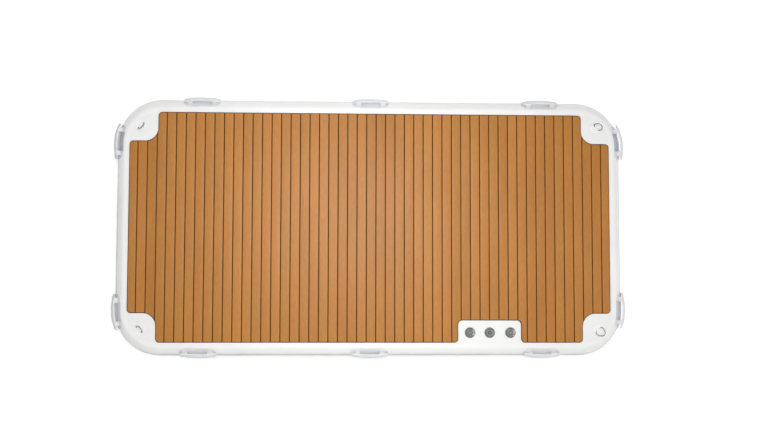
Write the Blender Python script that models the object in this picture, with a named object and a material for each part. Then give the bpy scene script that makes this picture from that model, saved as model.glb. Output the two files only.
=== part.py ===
"""Inflatable dock platform. Metres, +Z up, +X along the long side.

The origin is the middle of the underside. The valve panel is on the -Y side.
"""

import math

import bmesh
import bpy
from mathutils import Matrix, Vector

for old in list(bpy.data.objects):
    bpy.data.objects.remove(old, do_unlink=True)

# ---------------------------------------------------------------- dimensions
HALF_LENGTH = 1.540  # hull outline at mid height
HALF_WIDTH = 0.7775
CORNER_R = 0.275
HULL_H = 0.150  # inflated thickness, to the top face
SKIN_T = 0.0015
GAP = 0.0003  # between touching pieces

TAPE_T = 0.0010
TAPE_FLAT = 0.020  # tape leg on the face
TAPE_WALL_DEG = 7.5  # tape leg down the wall
BAND_STEP = 0.0014  # how far the underside steps up where the tape lies

WALL_BULGE = 0.062  # wall sagitta
WALL_T = 0.002
WALL_LOW = BAND_STEP  # the wall's lower edge sits above the tape
WALL_HALF_CHORD = (HULL_H - WALL_LOW) / 2
WALL_Z = (HULL_H + WALL_LOW) / 2
WALL_R = (WALL_HALF_CHORD**2 + WALL_BULGE**2) / (2 * WALL_BULGE)
WALL_HALF_DEG = math.degrees(math.asin(WALL_HALF_CHORD / WALL_R))
WALL_SEGMENTS = 8
CORNER_SEGMENTS = 8
SKIN_INSET = WALL_BULGE + 0.0009  # skin edge to hull outline

DECK_HALF_L = 1.450
DECK_HALF_W = 0.6890
DECK_LAYER = 0.0030
DECK_Z0 = HULL_H + GAP
DECK_Z1 = DECK_Z0 + DECK_LAYER
DECK_Z2 = DECK_Z1 + GAP
DECK_TOP = DECK_Z2 + DECK_LAYER
DECK_CORNER_R = 0.023
DECK_EDGE = 0.005  # the brown layer stops short of the dark one all round
NOTCH_X, NOTCH_Y = 0.170, 0.174
NOTCH_R = 0.077
PLANKS = 51
PLANK_PITCH = 0.05707  # the outermost planks are a little narrower
GROOVE_W = 0.0060
GROOVE_DEPTH = 0.0026
PANEL_X0, PANEL_X1 = 0.525, 0.905  # valve panel cut-out
PANEL_Y = -0.5565
PANEL_R = 0.026

VALVE_Y = -0.629
VALVE_X_LEFT, RELIEF_X, VALVE_X_RIGHT = 0.596, 0.715, 0.840
VALVE_FLANGE_R = 0.03175
VALVE_HOLE_R = 0.0236

RING_WIRE_R = 0.0025
RING_HALF_W = 0.0255  # centre line of the wire
RING_DEPTH = 0.0425
PATCH_R = 0.0325
PATCH_T = 0.0015
STRAP_T = 0.0015
STRAP_W = 0.030
STRAP_LEG = 0.016
RING_Z = HULL_H + GAP + PATCH_T + GAP + 0.0030
CORNERS = {"ne": (1, 1), "nw": (-1, 1), "sw": (-1, -1), "se": (1, -1)}
# D-ring hinge points, placed by hand on the real hull and so not quite alike
RING_AT = {
    "ne": (1.377, 0.6135),
    "nw": (-1.384, 0.6065),
    "sw": (-1.375, -0.6130),
    "se": (1.375, -0.6125),
}
# where each ring stands, from flat outwards (0) to flat inwards (180)
RING_REST_DEG = {"ne": 70.0, "nw": 125.0, "sw": 125.0, "se": 14.0}

HANDLE_HALF_L = 0.110
HANDLE_FLANGE_HALF_W = 0.038
HANDLE_FLANGE_T = 0.0025
HANDLE_GRIP_HALF_W = 0.018
HANDLE_GRIP_T = 0.0075
HANDLE_STAND = 0.0235  # grip centre above the wall, mid span
HANDLE_TIP_STAND = 0.0125  # the same at the grip's tips
HANDLE_POST_IN, HANDLE_POST_OUT = 0.058, 0.088
HANDLE_LIFT = 0.0006
HANDLE_TAPE_LIFT = 0.0012  # extra, where the flange runs over the seam tape
HANDLE_DEG = 46.0  # the handles sit on the shoulder of the wall
HANDLE_END_GRIP_DEG = 41.5  # the grips on the two ends hang a little lower
HANDLE_STIFF = 0.5  # how little the grip of a handle follows the hull's corner

YARN_R = 0.0018
YARN_ROWS = (-0.52, -0.26, 0.0, 0.26, 0.52)
YARN_PITCH = 0.20
YARN_HALF_LENGTH = 1.30

# ------------------------------------------------------------------ materials


def material(name, color, roughness, metallic=0.0):
    mat = bpy.data.materials.new(name)
    mat.use_nodes = True
    bsdf = mat.node_tree.nodes["Principled BSDF"]
    bsdf.inputs["Base Color"].default_value = (*color, 1.0)
    bsdf.inputs["Roughness"].default_value = roughness
    bsdf.inputs["Metallic"].default_value = metallic
    mat.diffuse_color = (*color, 1.0)
    return mat


# name: colour, roughness, metallic
FINISHES = {
    "hull": ((0.87, 0.87, 0.86), 0.38, 0.0),
    "wall": ((0.84, 0.85, 0.86), 0.38, 0.0),
    "tape": ((0.86, 0.86, 0.86), 0.35, 0.0),
    "yarn": ((0.80, 0.80, 0.78), 0.85, 0.0),
    "foam_dark": ((0.16, 0.07, 0.025), 0.9, 0.0),
    "foam_brown": ((0.56, 0.27, 0.085), 0.8, 0.0),
    "handle": ((0.60, 0.61, 0.67), 0.5, 0.0),
    "patch": ((0.85, 0.85, 0.85), 0.4, 0.0),
    "steel": ((0.72, 0.72, 0.71), 0.15, 1.0),
    "valve": ((0.16, 0.16, 0.16), 0.45, 0.0),
    "seal": ((0.03, 0.03, 0.03), 0.7, 0.0),
    "spring": ((0.60, 0.60, 0.60), 0.25, 1.0),
    "stem": ((0.50, 0.50, 0.50), 0.4, 0.0),
}


def add_object(name, bm, finish, location=(0, 0, 0), parent=None, rotation=None):
    mesh = bpy.data.meshes.new(name)
    bmesh.ops.recalc_face_normals(bm, faces=bm.faces)
    bm.to_mesh(mesh)
    bm.free()
    mesh.shade_smooth()
    mesh.set_sharp_from_angle(angle=math.radians(35))
    obj = bpy.data.objects.new(name, mesh)
    bpy.context.scene.collection.objects.link(obj)
    obj.data.materials.append(material(name, *FINISHES[finish]))
    obj.parent = parent
    obj.location = location
    if rotation is not None:
        obj.rotation_mode = "QUATERNION"
        obj.rotation_quaternion = rotation
    return obj


def add_empty(name, location, rotation=None):
    empty = bpy.data.objects.new(name, None)
    empty.empty_display_size = 0.03
    empty.location = location
    if rotation is not None:
        empty.rotation_mode = "QUATERNION"
        empty.rotation_quaternion = rotation
    bpy.context.scene.collection.objects.link(empty)
    return empty


def hide_cutter(obj):
    obj.hide_render = True
    obj.display_type = "WIRE"


def cut(obj, cutter):
    hide_cutter(cutter)
    mod = obj.modifiers.new("cut_" + cutter.name, "BOOLEAN")
    mod.operation = "DIFFERENCE"
    mod.solver = "EXACT"
    mod.object = cutter


# ------------------------------------------------------------------- builders


def lattice(cells, position, periodic=False):
    """The outer surface of a set of occupied lattice cells.

    cells: set of (i, j, k); position(i, j, k) places a lattice node. With
    periodic, i wraps round after that many cells.
    """
    bm = bmesh.new()
    verts = {}

    def vert(i, j, k):
        if periodic:
            i %= periodic
        key = (i, j, k)
        if key not in verts:
            verts[key] = bm.verts.new(position(i, j, k))
        return verts[key]

    sides = (
        ((-1, 0, 0), ((0, 0, 0), (0, 0, 1), (0, 1, 1), (0, 1, 0))),
        ((1, 0, 0), ((1, 0, 0), (1, 1, 0), (1, 1, 1), (1, 0, 1))),
        ((0, -1, 0), ((0, 0, 0), (1, 0, 0), (1, 0, 1), (0, 0, 1))),
        ((0, 1, 0), ((0, 1, 0), (0, 1, 1), (1, 1, 1), (1, 1, 0))),
        ((0, 0, -1), ((0, 0, 0), (0, 1, 0), (1, 1, 0), (1, 0, 0))),
        ((0, 0, 1), ((0, 0, 1), (1, 0, 1), (1, 1, 1), (0, 1, 1))),
    )
    for i, j, k in sorted(cells):
        for (di, dj, dk), corners in sides:
            ni = (i + di) % periodic if periodic else i + di
            if (ni, j + dj, k + dk) in cells:
                continue
            bm.faces.new([vert(i + a, j + b, k + c) for a, b, c in corners])
    return bm


def revolve(profile, steps, radius_of=None):
    """Turns a closed (r, z) profile about Z. Points on the axis are shared."""
    bm = bmesh.new()
    rings = []
    for index, (r, z) in enumerate(profile):
        if r < 1e-9:
            rings.append([bm.verts.new((0, 0, z))])
            continue
        ring = []
        for n in range(steps):
            a = 2 * math.pi * n / steps
            rr = radius_of(index, n, r) if radius_of else r
            ring.append(bm.verts.new((rr * math.cos(a), rr * math.sin(a), z)))
        rings.append(ring)
    for index, ring in enumerate(rings):
        after = rings[(index + 1) % len(rings)]
        if len(ring) == 1 and len(after) == 1:
            continue
        for n in range(steps):
            m = (n + 1) % steps
            corners = [
                ring[n % len(ring)],
                ring[m % len(ring)],
                after[m % len(after)],
                after[n % len(after)],
            ]
            unique = []
            for corner in corners:
                if corner not in unique:
                    unique.append(corner)
            bm.faces.new(unique)
    return bm


def tube(points, radius, sides, closed=False, normal=None):
    """Sweeps a round section along points; normal keeps a planar path untwisted."""
    bm = bmesh.new()
    rings = []
    count = len(points)
    frame = None
    for n, p in enumerate(points):
        if closed:
            before, after = points[n - 1], points[(n + 1) % count]
        else:
            before, after = points[max(n - 1, 0)], points[min(n + 1, count - 1)]
        tangent = (after - before).normalized()
        if normal is not None:
            side = normal.cross(tangent).normalized()
        else:
            if frame is None:
                frame = tangent.orthogonal().normalized()
            side = (frame - tangent * frame.dot(tangent)).normalized()
            frame = side
        up = tangent.cross(side).normalized()
        ring = []
        for s in range(sides):
            a = 2 * math.pi * (s + 0.5) / sides
            ring.append(
                bm.verts.new(p + side * radius * math.cos(a) + up * radius * math.sin(a))
            )
        rings.append(ring)
    for n in range(count if closed else count - 1):
        first, second = rings[n], rings[(n + 1) % count]
        for s in range(sides):
            t = (s + 1) % sides
            bm.faces.new([first[s], first[t], second[t], second[s]])
    if not closed:
        bm.faces.new(rings[0][::-1])
        bm.faces.new(rings[-1])
    return bm


def mitred_tube(points, radius, sides):
    """Straight runs of one constant section, mitred where they meet."""
    ways = [(b - a).normalized() for a, b in zip(points, points[1:])]
    side = ways[0].orthogonal().normalized()
    bm = bmesh.new()
    rings = []
    for n, p in enumerate(points):
        before, after = ways[max(n - 1, 0)], ways[min(n, len(ways) - 1)]
        mitre = (before + after).normalized()
        up = before.cross(side)
        ring = []
        for s in range(sides):
            a = 2 * math.pi * (s + 0.5) / sides
            reach = side * radius * math.cos(a) + up * radius * math.sin(a)
            reach -= before * (reach.dot(mitre) / before.dot(mitre))
            ring.append(bm.verts.new(p + reach))
        rings.append(ring)
        side = before.rotation_difference(after) @ side
    for first, second in zip(rings, rings[1:]):
        for s in range(sides):
            t = (s + 1) % sides
            bm.faces.new([first[s], first[t], second[t], second[s]])
    bm.faces.new(rings[0][::-1])
    bm.faces.new(rings[-1])
    return bm


def prism(outline, z0, z1):
    """A plate between two heights from a plan outline."""
    bm = bmesh.new()
    low = [bm.verts.new((x, y, z0)) for x, y in outline]
    high = [bm.verts.new((x, y, z1)) for x, y in outline]
    bm.faces.new(low[::-1])
    bm.faces.new(high)
    count = len(outline)
    for n in range(count):
        m = (n + 1) % count
        bm.faces.new([low[n], low[m], high[m], high[n]])
    return bm


def arc(cx, cy, r, start, end, segments):
    return [
        (
            cx + r * math.cos(math.radians(start + (end - start) * n / segments)),
            cy + r * math.sin(math.radians(start + (end - start) * n / segments)),
        )
        for n in range(segments + 1)
    ]


# ------------------------------------------------------------------ hull shape


def hull_stations():
    """(centre x, centre y, direction in degrees) of the corner stations, anticlockwise."""
    cx, cy = HALF_LENGTH - CORNER_R, HALF_WIDTH - CORNER_R
    stations = []
    for corner, (sx, sy) in enumerate(((1, 1), (-1, 1), (-1, -1), (1, -1))):
        for n in range(CORNER_SEGMENTS + 1):
            stations.append((sx * cx, sy * cy, corner * 90 + 90 * n / CORNER_SEGMENTS))
    return stations


def hull_outline(inset):
    r = CORNER_R - inset
    return [
        (cx + r * math.cos(math.radians(a)), cy + r * math.sin(math.radians(a)))
        for cx, cy, a in hull_stations()
    ]


def hull_sweep(profile):
    """Sweeps a closed (inset from the outline, z) profile round the hull."""
    bm = bmesh.new()
    rings = []
    for cx, cy, a in hull_stations():
        c, s = math.cos(math.radians(a)), math.sin(math.radians(a))
        rings.append(
            [
                bm.verts.new((cx + (CORNER_R - d) * c, cy + (CORNER_R - d) * s, z))
                for d, z in profile
            ]
        )
    count, points = len(rings), len(profile)
    for n in range(count):
        m = (n + 1) % count
        for p in range(points):
            q = (p + 1) % points
            bm.faces.new([rings[n][p], rings[m][p], rings[m][q], rings[n][q]])
    return bm


def wall_point(deg, radius):
    """(inset, z) of a point of the wall's arc; 0 degrees is mid height, outermost."""
    a = math.radians(deg)
    return (WALL_R - radius * math.cos(a), WALL_Z + radius * math.sin(a))


def outline_frame(s):
    """Plan point and outward normal at a length s along the outline, from (+X, 0), anticlockwise."""
    end = HALF_WIDTH - CORNER_R
    side = 2 * (HALF_LENGTH - CORNER_R)
    quarter = CORNER_R * math.pi / 2
    total = 4 * end + 2 * side + 4 * quarter
    s %= total
    cx, cy = HALF_LENGTH - CORNER_R, end
    runs = (
        ("line", end, Vector((HALF_LENGTH, 0)), Vector((0, 1))),
        ("arc", quarter, Vector((cx, cy)), 0.0),
        ("line", side, Vector((cx, HALF_WIDTH)), Vector((-1, 0))),
        ("arc", quarter, Vector((-cx, cy)), 90.0),
        ("line", 2 * end, Vector((-HALF_LENGTH, cy)), Vector((0, -1))),
        ("arc", quarter, Vector((-cx, -cy)), 180.0),
        ("line", side, Vector((-cx, -HALF_WIDTH)), Vector((1, 0))),
        ("arc", quarter, Vector((cx, -cy)), 270.0),
        ("line", end, Vector((HALF_LENGTH, -cy)), Vector((0, 1))),
    )
    for kind, length, at, way in runs:
        if s <= length:
            if kind == "line":
                return at + way * s, Vector((way.y, -way.x))
            a = math.radians(way) + s / CORNER_R
            normal = Vector((math.cos(a), math.sin(a)))
            return at + normal * CORNER_R, normal
        s -= length
    return runs[0][2], Vector((1, 0))


def wall_surface(s, deg, height):
    """A point this far above the wall's surface."""
    at, normal = outline_frame(s)
    a = math.radians(deg)
    reach = (WALL_R + height) * math.cos(a) - WALL_R
    flat = at + normal * reach
    return Vector((flat.x, flat.y, WALL_Z + (WALL_R + height) * math.sin(a)))


# ------------------------------------------------------------------------ hull

# top face, pierced by the three valve holes
top_skin = add_object(
    "top_skin", prism(hull_outline(SKIN_INSET), HULL_H - SKIN_T, HULL_H), "hull"
)
holes = bmesh.new()
for x in (VALVE_X_LEFT, RELIEF_X, VALVE_X_RIGHT):
    bmesh.ops.create_cone(
        holes,
        cap_ends=True,
        segments=24,
        radius1=VALVE_HOLE_R,
        radius2=VALVE_HOLE_R,
        depth=0.02,
        matrix=Matrix.Translation((x, VALVE_Y, HULL_H)),
    )
cut(top_skin, add_object("valve_hole_cutter", holes, "hull"))

# bottom face: its rim steps up by the thickness of the tape that lies there
rim = SKIN_INSET + TAPE_FLAT + 0.004
bottom = bmesh.new()
levels = (
    (rim + 0.004, 0.0),
    (rim, BAND_STEP),
    (SKIN_INSET, BAND_STEP),
    (SKIN_INSET, BAND_STEP + SKIN_T),
    (rim, BAND_STEP + SKIN_T),
    (rim + 0.004, SKIN_T),
)
rings = [
    [bottom.verts.new((x, y, z)) for x, y in hull_outline(inset)] for inset, z in levels
]
bottom.faces.new(rings[0][::-1])
bottom.faces.new(rings[-1])
for lower, upper in zip(rings, rings[1:]):
    for n in range(len(lower)):
        m = (n + 1) % len(lower)
        bottom.faces.new([lower[n], lower[m], upper[m], upper[n]])
add_object("bottom_skin", bottom, "hull")

# wall strip: an arc of constant radius, bulging outwards
angles = [
    -WALL_HALF_DEG + 2 * WALL_HALF_DEG * n / WALL_SEGMENTS
    for n in range(WALL_SEGMENTS + 1)
]
add_object(
    "side_wall",
    hull_sweep(
        [wall_point(a, WALL_R) for a in angles]
        + [wall_point(a, WALL_R - WALL_T) for a in reversed(angles)]
    ),
    "wall",
)


# tapes: one leg on the face, one down the wall
def tape_profile(sign):
    face = HULL_H if sign > 0 else WALL_LOW
    legs = [WALL_HALF_DEG - TAPE_WALL_DEG * (1 - n / 2) for n in range(3)]
    inner = [wall_point(sign * a, WALL_R + 0.0004) for a in legs]
    outer = [wall_point(sign * a, WALL_R + 0.0004 + TAPE_T) for a in legs]
    flat = SKIN_INSET + TAPE_FLAT
    inner = inner[:-1] + [(SKIN_INSET, face + sign * GAP), (flat, face + sign * GAP)]
    outer = outer[:-1] + [
        (SKIN_INSET - 0.0004, face + sign * (GAP + TAPE_T)),
        (flat, face + sign * (GAP + TAPE_T)),
    ]
    return inner + outer[::-1]


add_object("upper_seam_tape", hull_sweep(tape_profile(1)), "tape")
add_object("lower_seam_tape", hull_sweep(tape_profile(-1)), "tape")

# yarn that ties the faces together: one run, up and down in rows
yarn_low = SKIN_T + GAP + YARN_R
yarn_high = HULL_H - SKIN_T - GAP - YARN_R
yarn = []
ends = [yarn_low, yarn_high]
columns = int(round(2 * YARN_HALF_LENGTH / YARN_PITCH)) + 1
for row, y in enumerate(YARN_ROWS):
    order = range(columns) if row % 2 == 0 else range(columns - 1, -1, -1)
    for column in order:
        x = -YARN_HALF_LENGTH + YARN_PITCH * column
        yarn += [Vector((x, y, z)) for z in ends]
        ends.reverse()
add_object("drop_stitch_yarn", mitred_tube(yarn, YARN_R, 4), "yarn")

# ------------------------------------------------------------------------ deck


def deck_outline(e):
    """Plan of the foam, set in by e: notches in the corners, a cut-out for the valves."""
    points = []
    inner_x, inner_y = DECK_HALF_L - NOTCH_X, DECK_HALF_W - NOTCH_Y
    r, c = NOTCH_R, DECK_CORNER_R
    quadrant = (
        arc(DECK_HALF_L - c, inner_y - c, c - e, 0, 90, 3)
        + arc(inner_x + r, inner_y + r, r + e, 270, 180, 6)
        + arc(inner_x - c, DECK_HALF_W - c, c - e, 0, 90, 3)
    )
    points += quadrant
    points += [(-x, y) for x, y in reversed(quadrant)]
    points += [(-x, -y) for x, y in quadrant]
    pr = PANEL_R
    points += arc(PANEL_X0 - c, -DECK_HALF_W + c, c - e, 270, 360, 3)
    points += arc(PANEL_X0 + pr, PANEL_Y - pr, pr + e, 180, 90, 4)
    points += arc(PANEL_X1 - pr, PANEL_Y - pr, pr + e, 90, 0, 4)
    points += arc(PANEL_X1 + c, -DECK_HALF_W + c, c - e, 180, 270, 3)
    points += [(x, -y) for x, y in reversed(quadrant)]
    return points


add_object("deck_base_layer", prism(deck_outline(0.0), DECK_Z0, DECK_Z1), "foam_dark")
deck_top = add_object(
    "deck_top_layer", prism(deck_outline(DECK_EDGE), DECK_Z2, DECK_TOP), "foam_brown"
)
grooves = bmesh.new()
for n in range(1, PLANKS):
    x = (n - PLANKS / 2) * PLANK_PITCH
    bmesh.ops.create_cube(
        grooves,
        size=1.0,
        matrix=Matrix.Translation((x, 0, DECK_TOP - GROOVE_DEPTH + 0.005))
        @ Matrix.Diagonal((GROOVE_W, 2 * DECK_HALF_W + 0.02, 0.010, 1.0)),
    )
cut(deck_top, add_object("plank_groove_cutter", grooves, "foam_brown"))

# --------------------------------------------------------------------- handles

# lattice lines along the handle: tips, posts and the bowed span between them
HANDLE_U = (
    -HANDLE_HALF_L,
    -0.100,
    -HANDLE_POST_OUT,
    -HANDLE_POST_IN,
    -0.030,
    0.0,
    0.030,
    HANDLE_POST_IN,
    HANDLE_POST_OUT,
    0.100,
    HANDLE_HALF_L,
)
HANDLE_V = (-1.0, -0.80, -0.48, -0.20, 0.05, 0.30, 0.48, 0.64, 0.84, 1.0)
GRIP_LINES = {2: -1.0, 3: -0.6, 4: 0.0, 5: 0.6, 6: 1.0}  # those that the grip uses
WINDOW_LINES = (1, 4)  # the flange is open between these, under the grip


def handle_point(i, j, k, s0, grip_deg):
    """Lattice node to the wall: i along the handle, j across it, k away from the wall."""
    u = HANDLE_U[i]
    end = 1.0 if abs(u) < 0.095 else (0.86 if abs(u) < 0.105 else 0.55)
    v = HANDLE_V[j] * HANDLE_FLANGE_HALF_W * end
    if k <= 1:
        over_tape = (HANDLE_DEG + math.degrees(v / WALL_R) - 64.0) / 5.0
        w = HANDLE_LIFT + HANDLE_TAPE_LIFT * min(1.0, max(0.0, over_tape))
        w += HANDLE_FLANGE_T if k == 1 else 0.0
    else:
        # the grip and its posts are narrower than the flange, with soft edges
        across = GRIP_LINES[j]
        v = across * HANDLE_GRIP_HALF_W * (0.8 if abs(u) > 0.105 else 1.0)
        bow = 1 - (u / HANDLE_HALF_L) ** 2
        middle = HANDLE_TIP_STAND + (HANDLE_STAND - HANDLE_TIP_STAND) * bow
        thick = HANDLE_GRIP_T * (0.45 if abs(u) > 0.105 else 1.0)
        edge = 0.25 if abs(across) == 1.0 else 0.5
        w = middle + thick * (edge if k == 3 else -edge)
    deg = (HANDLE_DEG if k <= 1 else grip_deg) + math.degrees(v / (WALL_R + w))
    point = wall_surface(s0 + u, deg, w)
    if k > 1:
        # the moulded grip is stiffer than the flange, so it bends less round a corner
        at, normal = outline_frame(s0)
        flat = at + Vector((-normal.y, normal.x)) * u
        flat += normal * ((WALL_R + w) * math.cos(math.radians(deg)) - WALL_R)
        point = point.lerp(Vector((flat.x, flat.y, point.z)), HANDLE_STIFF)
    return point


def handle_mesh(s0, grip_deg):
    cells = set()
    last = len(HANDLE_U) - 1
    for i in range(last):
        for j in range(len(HANDLE_V) - 1):
            if not (2 < i < last - 3 and WINDOW_LINES[0] <= j < WINDOW_LINES[1]):
                cells.add((i, j, 0))
        for j in range(min(GRIP_LINES), max(GRIP_LINES)):
            cells.add((i, j, 2))
            if i in (2, last - 3):
                cells.add((i, j, 1))
    return lattice(cells, lambda i, j, k: handle_point(i, j, k, s0, grip_deg))


END_S = HALF_WIDTH - CORNER_R
QUARTER_S = CORNER_R * math.pi / 2
SIDE_S = 2 * (HALF_LENGTH - CORNER_R)
mid_back = END_S + QUARTER_S + SIDE_S / 2
mid_left = END_S + QUARTER_S + SIDE_S + QUARTER_S + END_S
mid_front = mid_left + END_S + QUARTER_S + SIDE_S / 2
# middles along the outline, also placed by hand on the real hull
for name, s0 in (
    ("handle_back_left", mid_back + 1.023),
    ("handle_back_middle", mid_back + 0.003),
    ("handle_back_right", mid_back - 1.033),
    ("handle_front_left", mid_front - 1.031),
    ("handle_front_middle", mid_front - 0.005),
    ("handle_front_right", mid_front + 1.033),
    ("handle_left_back", mid_left - 0.515),
    ("handle_left_front", mid_left + 0.514),
    ("handle_right_back", 0.533),
    ("handle_right_front", -0.5005),
):
    on_end = name.startswith(("handle_left", "handle_right"))
    grip_deg = HANDLE_END_GRIP_DEG if on_end else HANDLE_DEG
    add_object(name, handle_mesh(s0, grip_deg), "handle")

# --------------------------------------------------------------------- D-rings


def strap_profile():
    """(u, z) outline of the strap: flat legs and a hump over the bar, about the bar's centre."""
    base = -0.0030  # underside of the legs
    inner_r, outer_r = 0.0030, 0.0030 + STRAP_T
    lift = STRAP_T
    reach = math.sqrt(outer_r**2 - (base + lift) ** 2)
    start = math.degrees(math.atan2(base + lift, reach))
    outer = [
        (outer_r * math.cos(math.radians(a)), outer_r * math.sin(math.radians(a)))
        for a in [start + (180 - 2 * start) * n / 8 for n in range(9)]
    ]
    inner = [
        (inner_r * math.cos(math.radians(a)), inner_r * math.sin(math.radians(a)))
        for a in [180 - 180 * n / 6 for n in range(7)]
    ]
    end = STRAP_LEG + outer_r
    return (
        [(inner_r, base), (end, base), (end, base + lift)]
        + outer
        + [(-end, base + lift), (-end, base), (-inner_r, base)]
        + inner
    )


def ring_path():
    """The ring's centre line in its own plane: x along the bar, y away from it."""
    w, d = RING_HALF_W, RING_DEPTH
    bend = 0.006
    points = [(-w + bend, 0.0), (-w * 0.3, 0.0), (w * 0.3, 0.0), (w - bend, 0.0)]
    points += arc(w - bend, bend, bend, -60, 0, 2)
    points += [
        (w * math.cos(math.radians(a)), bend + (d - bend) * math.sin(math.radians(a)))
        for a in [180 * n / 12 for n in range(1, 12)]
    ]
    points += [(-x, y) for x, y in reversed(arc(w - bend, bend, bend, -60, 0, 2))]
    return points


for name, (sx, sy) in CORNERS.items():
    out = Vector((sx, sy, 0)).normalized()
    axis = Vector((out.y, -out.x, 0))  # turning about this lifts a ring that lies outwards
    hinge = Vector((*RING_AT[name], RING_Z))
    # local x along the hinge axis, y outwards, z up
    turn = Matrix((axis, out, Vector((0, 0, 1)))).transposed()
    if turn.determinant() < 0:
        turn = Matrix((-axis, out, Vector((0, 0, 1)))).transposed()
    station = turn.to_quaternion()

    patch = revolve(
        [
            (0, 0),
            (PATCH_R, 0),
            (PATCH_R, PATCH_T * 0.6),
            (PATCH_R - 0.0012, PATCH_T),
            (0, PATCH_T),
        ],
        24,
    )
    add_object(
        "d_ring_patch_" + name, patch, "patch", (hinge.x, hinge.y, HULL_H + GAP)
    )

    strap = bmesh.new()
    profile = strap_profile()
    sides = [
        [strap.verts.new((x, u, z)) for u, z in profile]
        for x in (-STRAP_W / 2, STRAP_W / 2)
    ]
    strap.faces.new(sides[0])
    strap.faces.new(sides[1][::-1])
    for n in range(len(profile)):
        m = (n + 1) % len(profile)
        strap.faces.new([sides[0][n], sides[1][n], sides[1][m], sides[0][m]])
    add_object("d_ring_strap_" + name, strap, "patch", hinge, rotation=station)

    pivot = add_empty("d_ring_pivot_" + name, hinge, station)
    lean = math.radians(RING_REST_DEG[name])
    ring = tube(
        [Vector((x, y, 0)) for x, y in ring_path()],
        RING_WIRE_R,
        6,
        closed=True,
        normal=Vector((0, 0, 1)),
    )
    add_object(
        "d_ring_" + name,
        ring,
        "steel",
        parent=pivot,
        rotation=Matrix.Rotation(lean, 3, "X").to_quaternion(),
    )

# ---------------------------------------------------------------------- valves

FLANGE_Z0 = HULL_H + GAP + 0.0008 + GAP
FLANGE_Z1 = FLANGE_Z0 + 0.0035
NUT_Z1 = HULL_H - SKIN_T - GAP
HUB_Z0, HUB_Z1 = 0.1255, 0.1285
SEAT_Z = 0.1225
BORE_R = 0.0190
NECK_R = 0.0230
STEPS = 20
SPRING_TOP = 0.1447


def body_mesh(levels, radii, filled, steps=24):
    """A turned body in polar lattice cells. filled(a, r, z) says which cells are solid."""
    cells = {
        (a, r, z)
        for a in range(steps)
        for r in range(len(radii) - 1)
        for z in range(len(levels) - 1)
        if filled(a, r, z)
    }

    def place(a, r, z):
        angle = 2 * math.pi * a / steps
        return Vector(
            (radii[r] * math.cos(angle), radii[r] * math.sin(angle), levels[z])
        )

    return lattice(cells, place, periodic=steps)


def spring_mesh(z0, z1, radius, wire, turns, per_turn=9, sides=4):
    """A helical spring whose ends stay inside z0 to z1."""
    count = int(turns * per_turn)
    low, high = z0 + wire, z1 - wire
    points = [
        Vector(
            (
                radius * math.cos(2 * math.pi * turns * n / count),
                radius * math.sin(2 * math.pi * turns * n / count),
                low + (high - low) * n / count,
            )
        )
        for n in range(count + 1)
    ]
    return tube(points, wire, sides)


def nut_radius(index, step, r):
    return r - 0.0012 if index in (1, 2) and step % 4 == 0 else r


def ring_profile(r0, r1, z0, z1, chamfer=0.0):
    if not chamfer:
        return [(r0, z0), (r1, z0), (r1, z1), (r0, z1)]
    return [
        (r0, z0),
        (r1, z0),
        (r1, z1 - chamfer),
        (r1 - chamfer, z1),
        (r0, z1),
    ]


def add_mounting(prefix, suffix, x):
    """The gasket on the face and the nut below it, which clamp the face between them."""
    at = (x, VALVE_Y, 0)
    add_object(
        prefix + "_gasket" + suffix,
        revolve(
            ring_profile(0.0240, 0.0305, HULL_H + GAP, HULL_H + GAP + 0.0008), STEPS
        ),
        "seal",
        at,
    )
    add_object(
        prefix + "_nut" + suffix,
        revolve(
            ring_profile(NECK_R + 0.0004, 0.0300, NUT_Z1 - 0.0080, NUT_Z1),
            STEPS,
            nut_radius,
        ),
        "valve",
        at,
    )


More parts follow.
